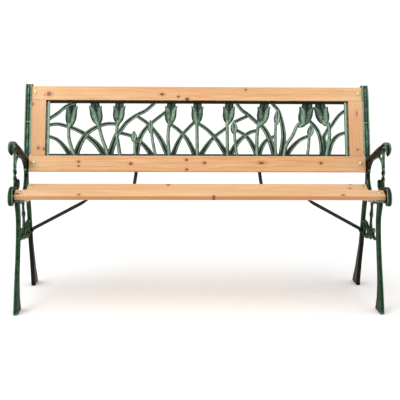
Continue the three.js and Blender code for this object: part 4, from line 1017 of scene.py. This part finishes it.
def paint_cast(me, outward):
    n = len(me.vertices)
    co = np.empty(n * 3, np.float32)
    me.vertices.foreach_get("co", co)
    co = co.reshape(-1, 3).astype(np.float64)
    no = np.empty(n * 3, np.float32)
    me.vertices.foreach_get("normal", no)
    no = no.reshape(-1, 3)
    e = np.empty(len(me.edges) * 2, np.int32)
    me.edges.foreach_get("vertices", e)
    e = e.reshape(-1, 2)
    deg = np.bincount(e.ravel(), minlength=n).astype(float)
    deg[deg == 0] = 1

    def average(a):
        s = np.zeros_like(a)
        for q in (0, 1):
            if a.ndim == 2:
                for c in range(a.shape[1]):
                    s[:, c] += np.bincount(e[:, q], a[e[:, 1 - q], c], n)
            else:
                s += np.bincount(e[:, q], a[e[:, 1 - q]], n)
        return s / (deg[:, None] if a.ndim == 2 else deg)

    low = co.copy()
    for _ in range(14):
        low = 0.5 * low + 0.5 * average(low)
    proud = ((co - low) * no).sum(1) * 1000
    for _ in range(2):
        proud = 0.5 * proud + 0.5 * average(proud)
    # painted light: faces turned to the front, up and outward get more green and inward faces less, standing in for
    # how the light falls on them; the share from what stands proud is the real dry-brushed patina
    front = np.clip(-no[:, 1], 0, 1)
    top = np.clip(no[:, 2], 0, 1)
    side = np.clip(no[:, 0] * outward, 0, 1)
    inner = np.clip(-no[:, 0] * outward, 0, 1)
    patina_and_light = 0.03 + 0.30 * front + 0.13 * top + 0.20 * side - 0.06 * inner + np.clip(proud / 0.8, -0.9, 1.0) * 0.55
    y, z = co[:, 1] * 1000, co[:, 2] * 1000
    # painted shade: the rear leg, in shade under the seat, and the down-facing underside of the arm are darkened
    rear_leg_shade = np.clip((y - 100) / 25, 0, 1) * np.clip((250 - z) / 60, 0, 1)
    under_arm_shade = np.clip((y + 190) / 20, 0, 1) * np.clip((z - 395) / 20, 0, 1) * np.clip((565 - z) / 20, 0, 1) * np.clip(-no[:, 2] * 1.5 + 0.4, 0, 1)
    patina_and_light = patina_and_light * (1 - 0.85 * rear_leg_shade) * (1 - 0.55 * under_arm_shade * (y < 95))
    # painted shade: the upright behind the seat and below the arm is darkened for the shade there
    lower = np.clip((z - 430) / 10, 0, 1) * np.clip((500 - z) / 25, 0, 1) * np.clip((y - 60) / 20, 0, 1)
    patina_and_light = patina_and_light * (1 - 0.35 * lower)
    legs = np.clip((378 - z) / 10, 0, 1)
    patina_and_light = patina_and_light * (1 - 0.2 * legs)
    # painted light: parts above z 480, the arms and top of the upright, get more green except their undersides,
    # standing in for light from above
    patina_and_light = patina_and_light + 0.13 * np.clip((z - 480) / 20, 0, 1) * (1 - np.clip(-no[:, 2] * 2, 0, 1))
    tip = np.clip((-204 - y) / 5, 0, 1) * np.clip((z - 512) / 8, 0, 1) * np.clip((560 - z) / 6, 0, 1) * np.exp(-(((np.abs(co[:, 0]) * 1000 - 598) / 6.5) ** 2))
    patina_and_light = patina_and_light * (1 - 0.75 * tip)
    patina_and_light = np.clip(patina_and_light, 0, 1)
    at = me.attributes.new("patina_and_light", "FLOAT", "POINT")
    at.data.foreach_set("value", patina_and_light.astype(np.float32))


voxel = 0.00155
right = cast_mesh(end_frame(), "right_side_casting", voxel)
left = right.copy()
left.name = "left_side_casting"
bm = bmesh.new()
bm.from_mesh(left)
for vert in bm.verts:
    vert.co.x = -vert.co.x
bmesh.ops.reverse_faces(bm, faces=bm.faces[:])
bm.to_mesh(left)
bm.free()
paint_cast(right, 1)
paint_cast(left, -1)
add("right_side_casting", right, "right_side_frame", IRON, smooth=None).data.polygons.foreach_set("use_smooth", [True] * len(right.polygons))
add("left_side_casting", left, "left_side_frame", IRON, smooth=None).data.polygons.foreach_set("use_smooth", [True] * len(left.polygons))

# ------------------------------------------------------------ floor, light, camera
me = bpy.data.meshes.new("floor")
R = 60.0
me.from_pydata([(-R, -R, 0), (R, -R, 0), (R, R, 0), (-R, R, 0)], [], [(0, 1, 2, 3)])
floor = bpy.data.objects.new("floor", me)
bpy.context.scene.collection.objects.link(floor)
fm = Nodes("floor_paper")
co = fm.new("ShaderNodeTexCoord").outputs["Object"]
fm.put(fm.bsdf, "Base Color", fm.ramp(fm.noise(co, 30.0, 3.0), [(0.3, (0.93, 0.93, 0.93, 1)), (0.7, (0.95, 0.95, 0.95, 1))]))
fm.bsdf.inputs["Roughness"].default_value = 0.9
fm.bsdf.inputs["Emission Color"].default_value = (1.0, 1.0, 1.0, 1.0)
fm.bsdf.inputs["Emission Strength"].default_value = 0.1
fm.bsdf.inputs["Specular IOR Level"].default_value = 0.1
me.materials.append(fm.mat)

world = bpy.data.worlds.new("studio")
bpy.context.scene.world = world
world.use_nodes = True
wt = world.node_tree
bg = wt.nodes["Background"]
bg.inputs[0].default_value = (1.0, 1.0, 1.0, 1.0)
path = wt.nodes.new("ShaderNodeLightPath")
level = wt.nodes.new("ShaderNodeMath")
level.operation = "MULTIPLY_ADD"
wt.links.new(path.outputs["Is Camera Ray"], level.inputs[0])
level.inputs[1].default_value = 0.3
level.inputs[2].default_value = 0.72
wt.links.new(level.outputs[0], bg.inputs[1])


def area(name, at, aim, size_, energy):
    d = bpy.data.lights.new(name, "AREA")
    d.shape = "RECTANGLE"
    d.size, d.size_y = size_
    d.energy = energy
    o = bpy.data.objects.new(name, d)
    bpy.context.scene.collection.objects.link(o)
    o.location = at
    o.rotation_mode = "QUATERNION"
    o.rotation_quaternion = (Vector(aim) - Vector(at)).to_track_quat("-Z", "Y")


sun = bpy.data.lights.new("soft_top", "SUN")
sun.energy = 1.15
sun.angle = math.radians(55)
so = bpy.data.objects.new("soft_top", sun)
bpy.context.scene.collection.objects.link(so)
so.rotation_mode = "QUATERNION"
so.rotation_quaternion = Vector((0.22, 0.42, -1.0)).to_track_quat("-Z", "Y")
area("key", (-1.8, -2.6, 2.2), (0.0, 0.0, 0.45), (1.2, 1.0), 22)

bpy.context.scene.view_settings.view_transform = "Standard"

cam = bpy.data.cameras.new("camera")
cam.sensor_width = 36.0
cam.lens = 84.493
cam.clip_end = 100
cob = bpy.data.objects.new("camera", cam)
bpy.context.scene.collection.objects.link(cob)
yaw, pitch, roll = math.radians(1.811), math.radians(8.663), math.radians(-0.331)
fw = Vector((math.sin(yaw) * math.cos(pitch), math.cos(yaw) * math.cos(pitch), -math.sin(pitch)))
rt = Vector((math.cos(yaw), -math.sin(yaw), 0))
dn = fw.cross(rt)
if dn.z > 0:
    dn = -dn
r2 = rt * math.cos(roll) + dn * math.sin(roll)
d2 = -rt * math.sin(roll) + dn * math.cos(roll)
rot = Matrix((r2, -d2, -fw)).transposed()
cob.rotation_mode = "QUATERNION"
cob.rotation_quaternion = rot.to_quaternion()
cob.location = (-0.0956, -3.1805, 0.8309)
bpy.context.scene.camera = cob
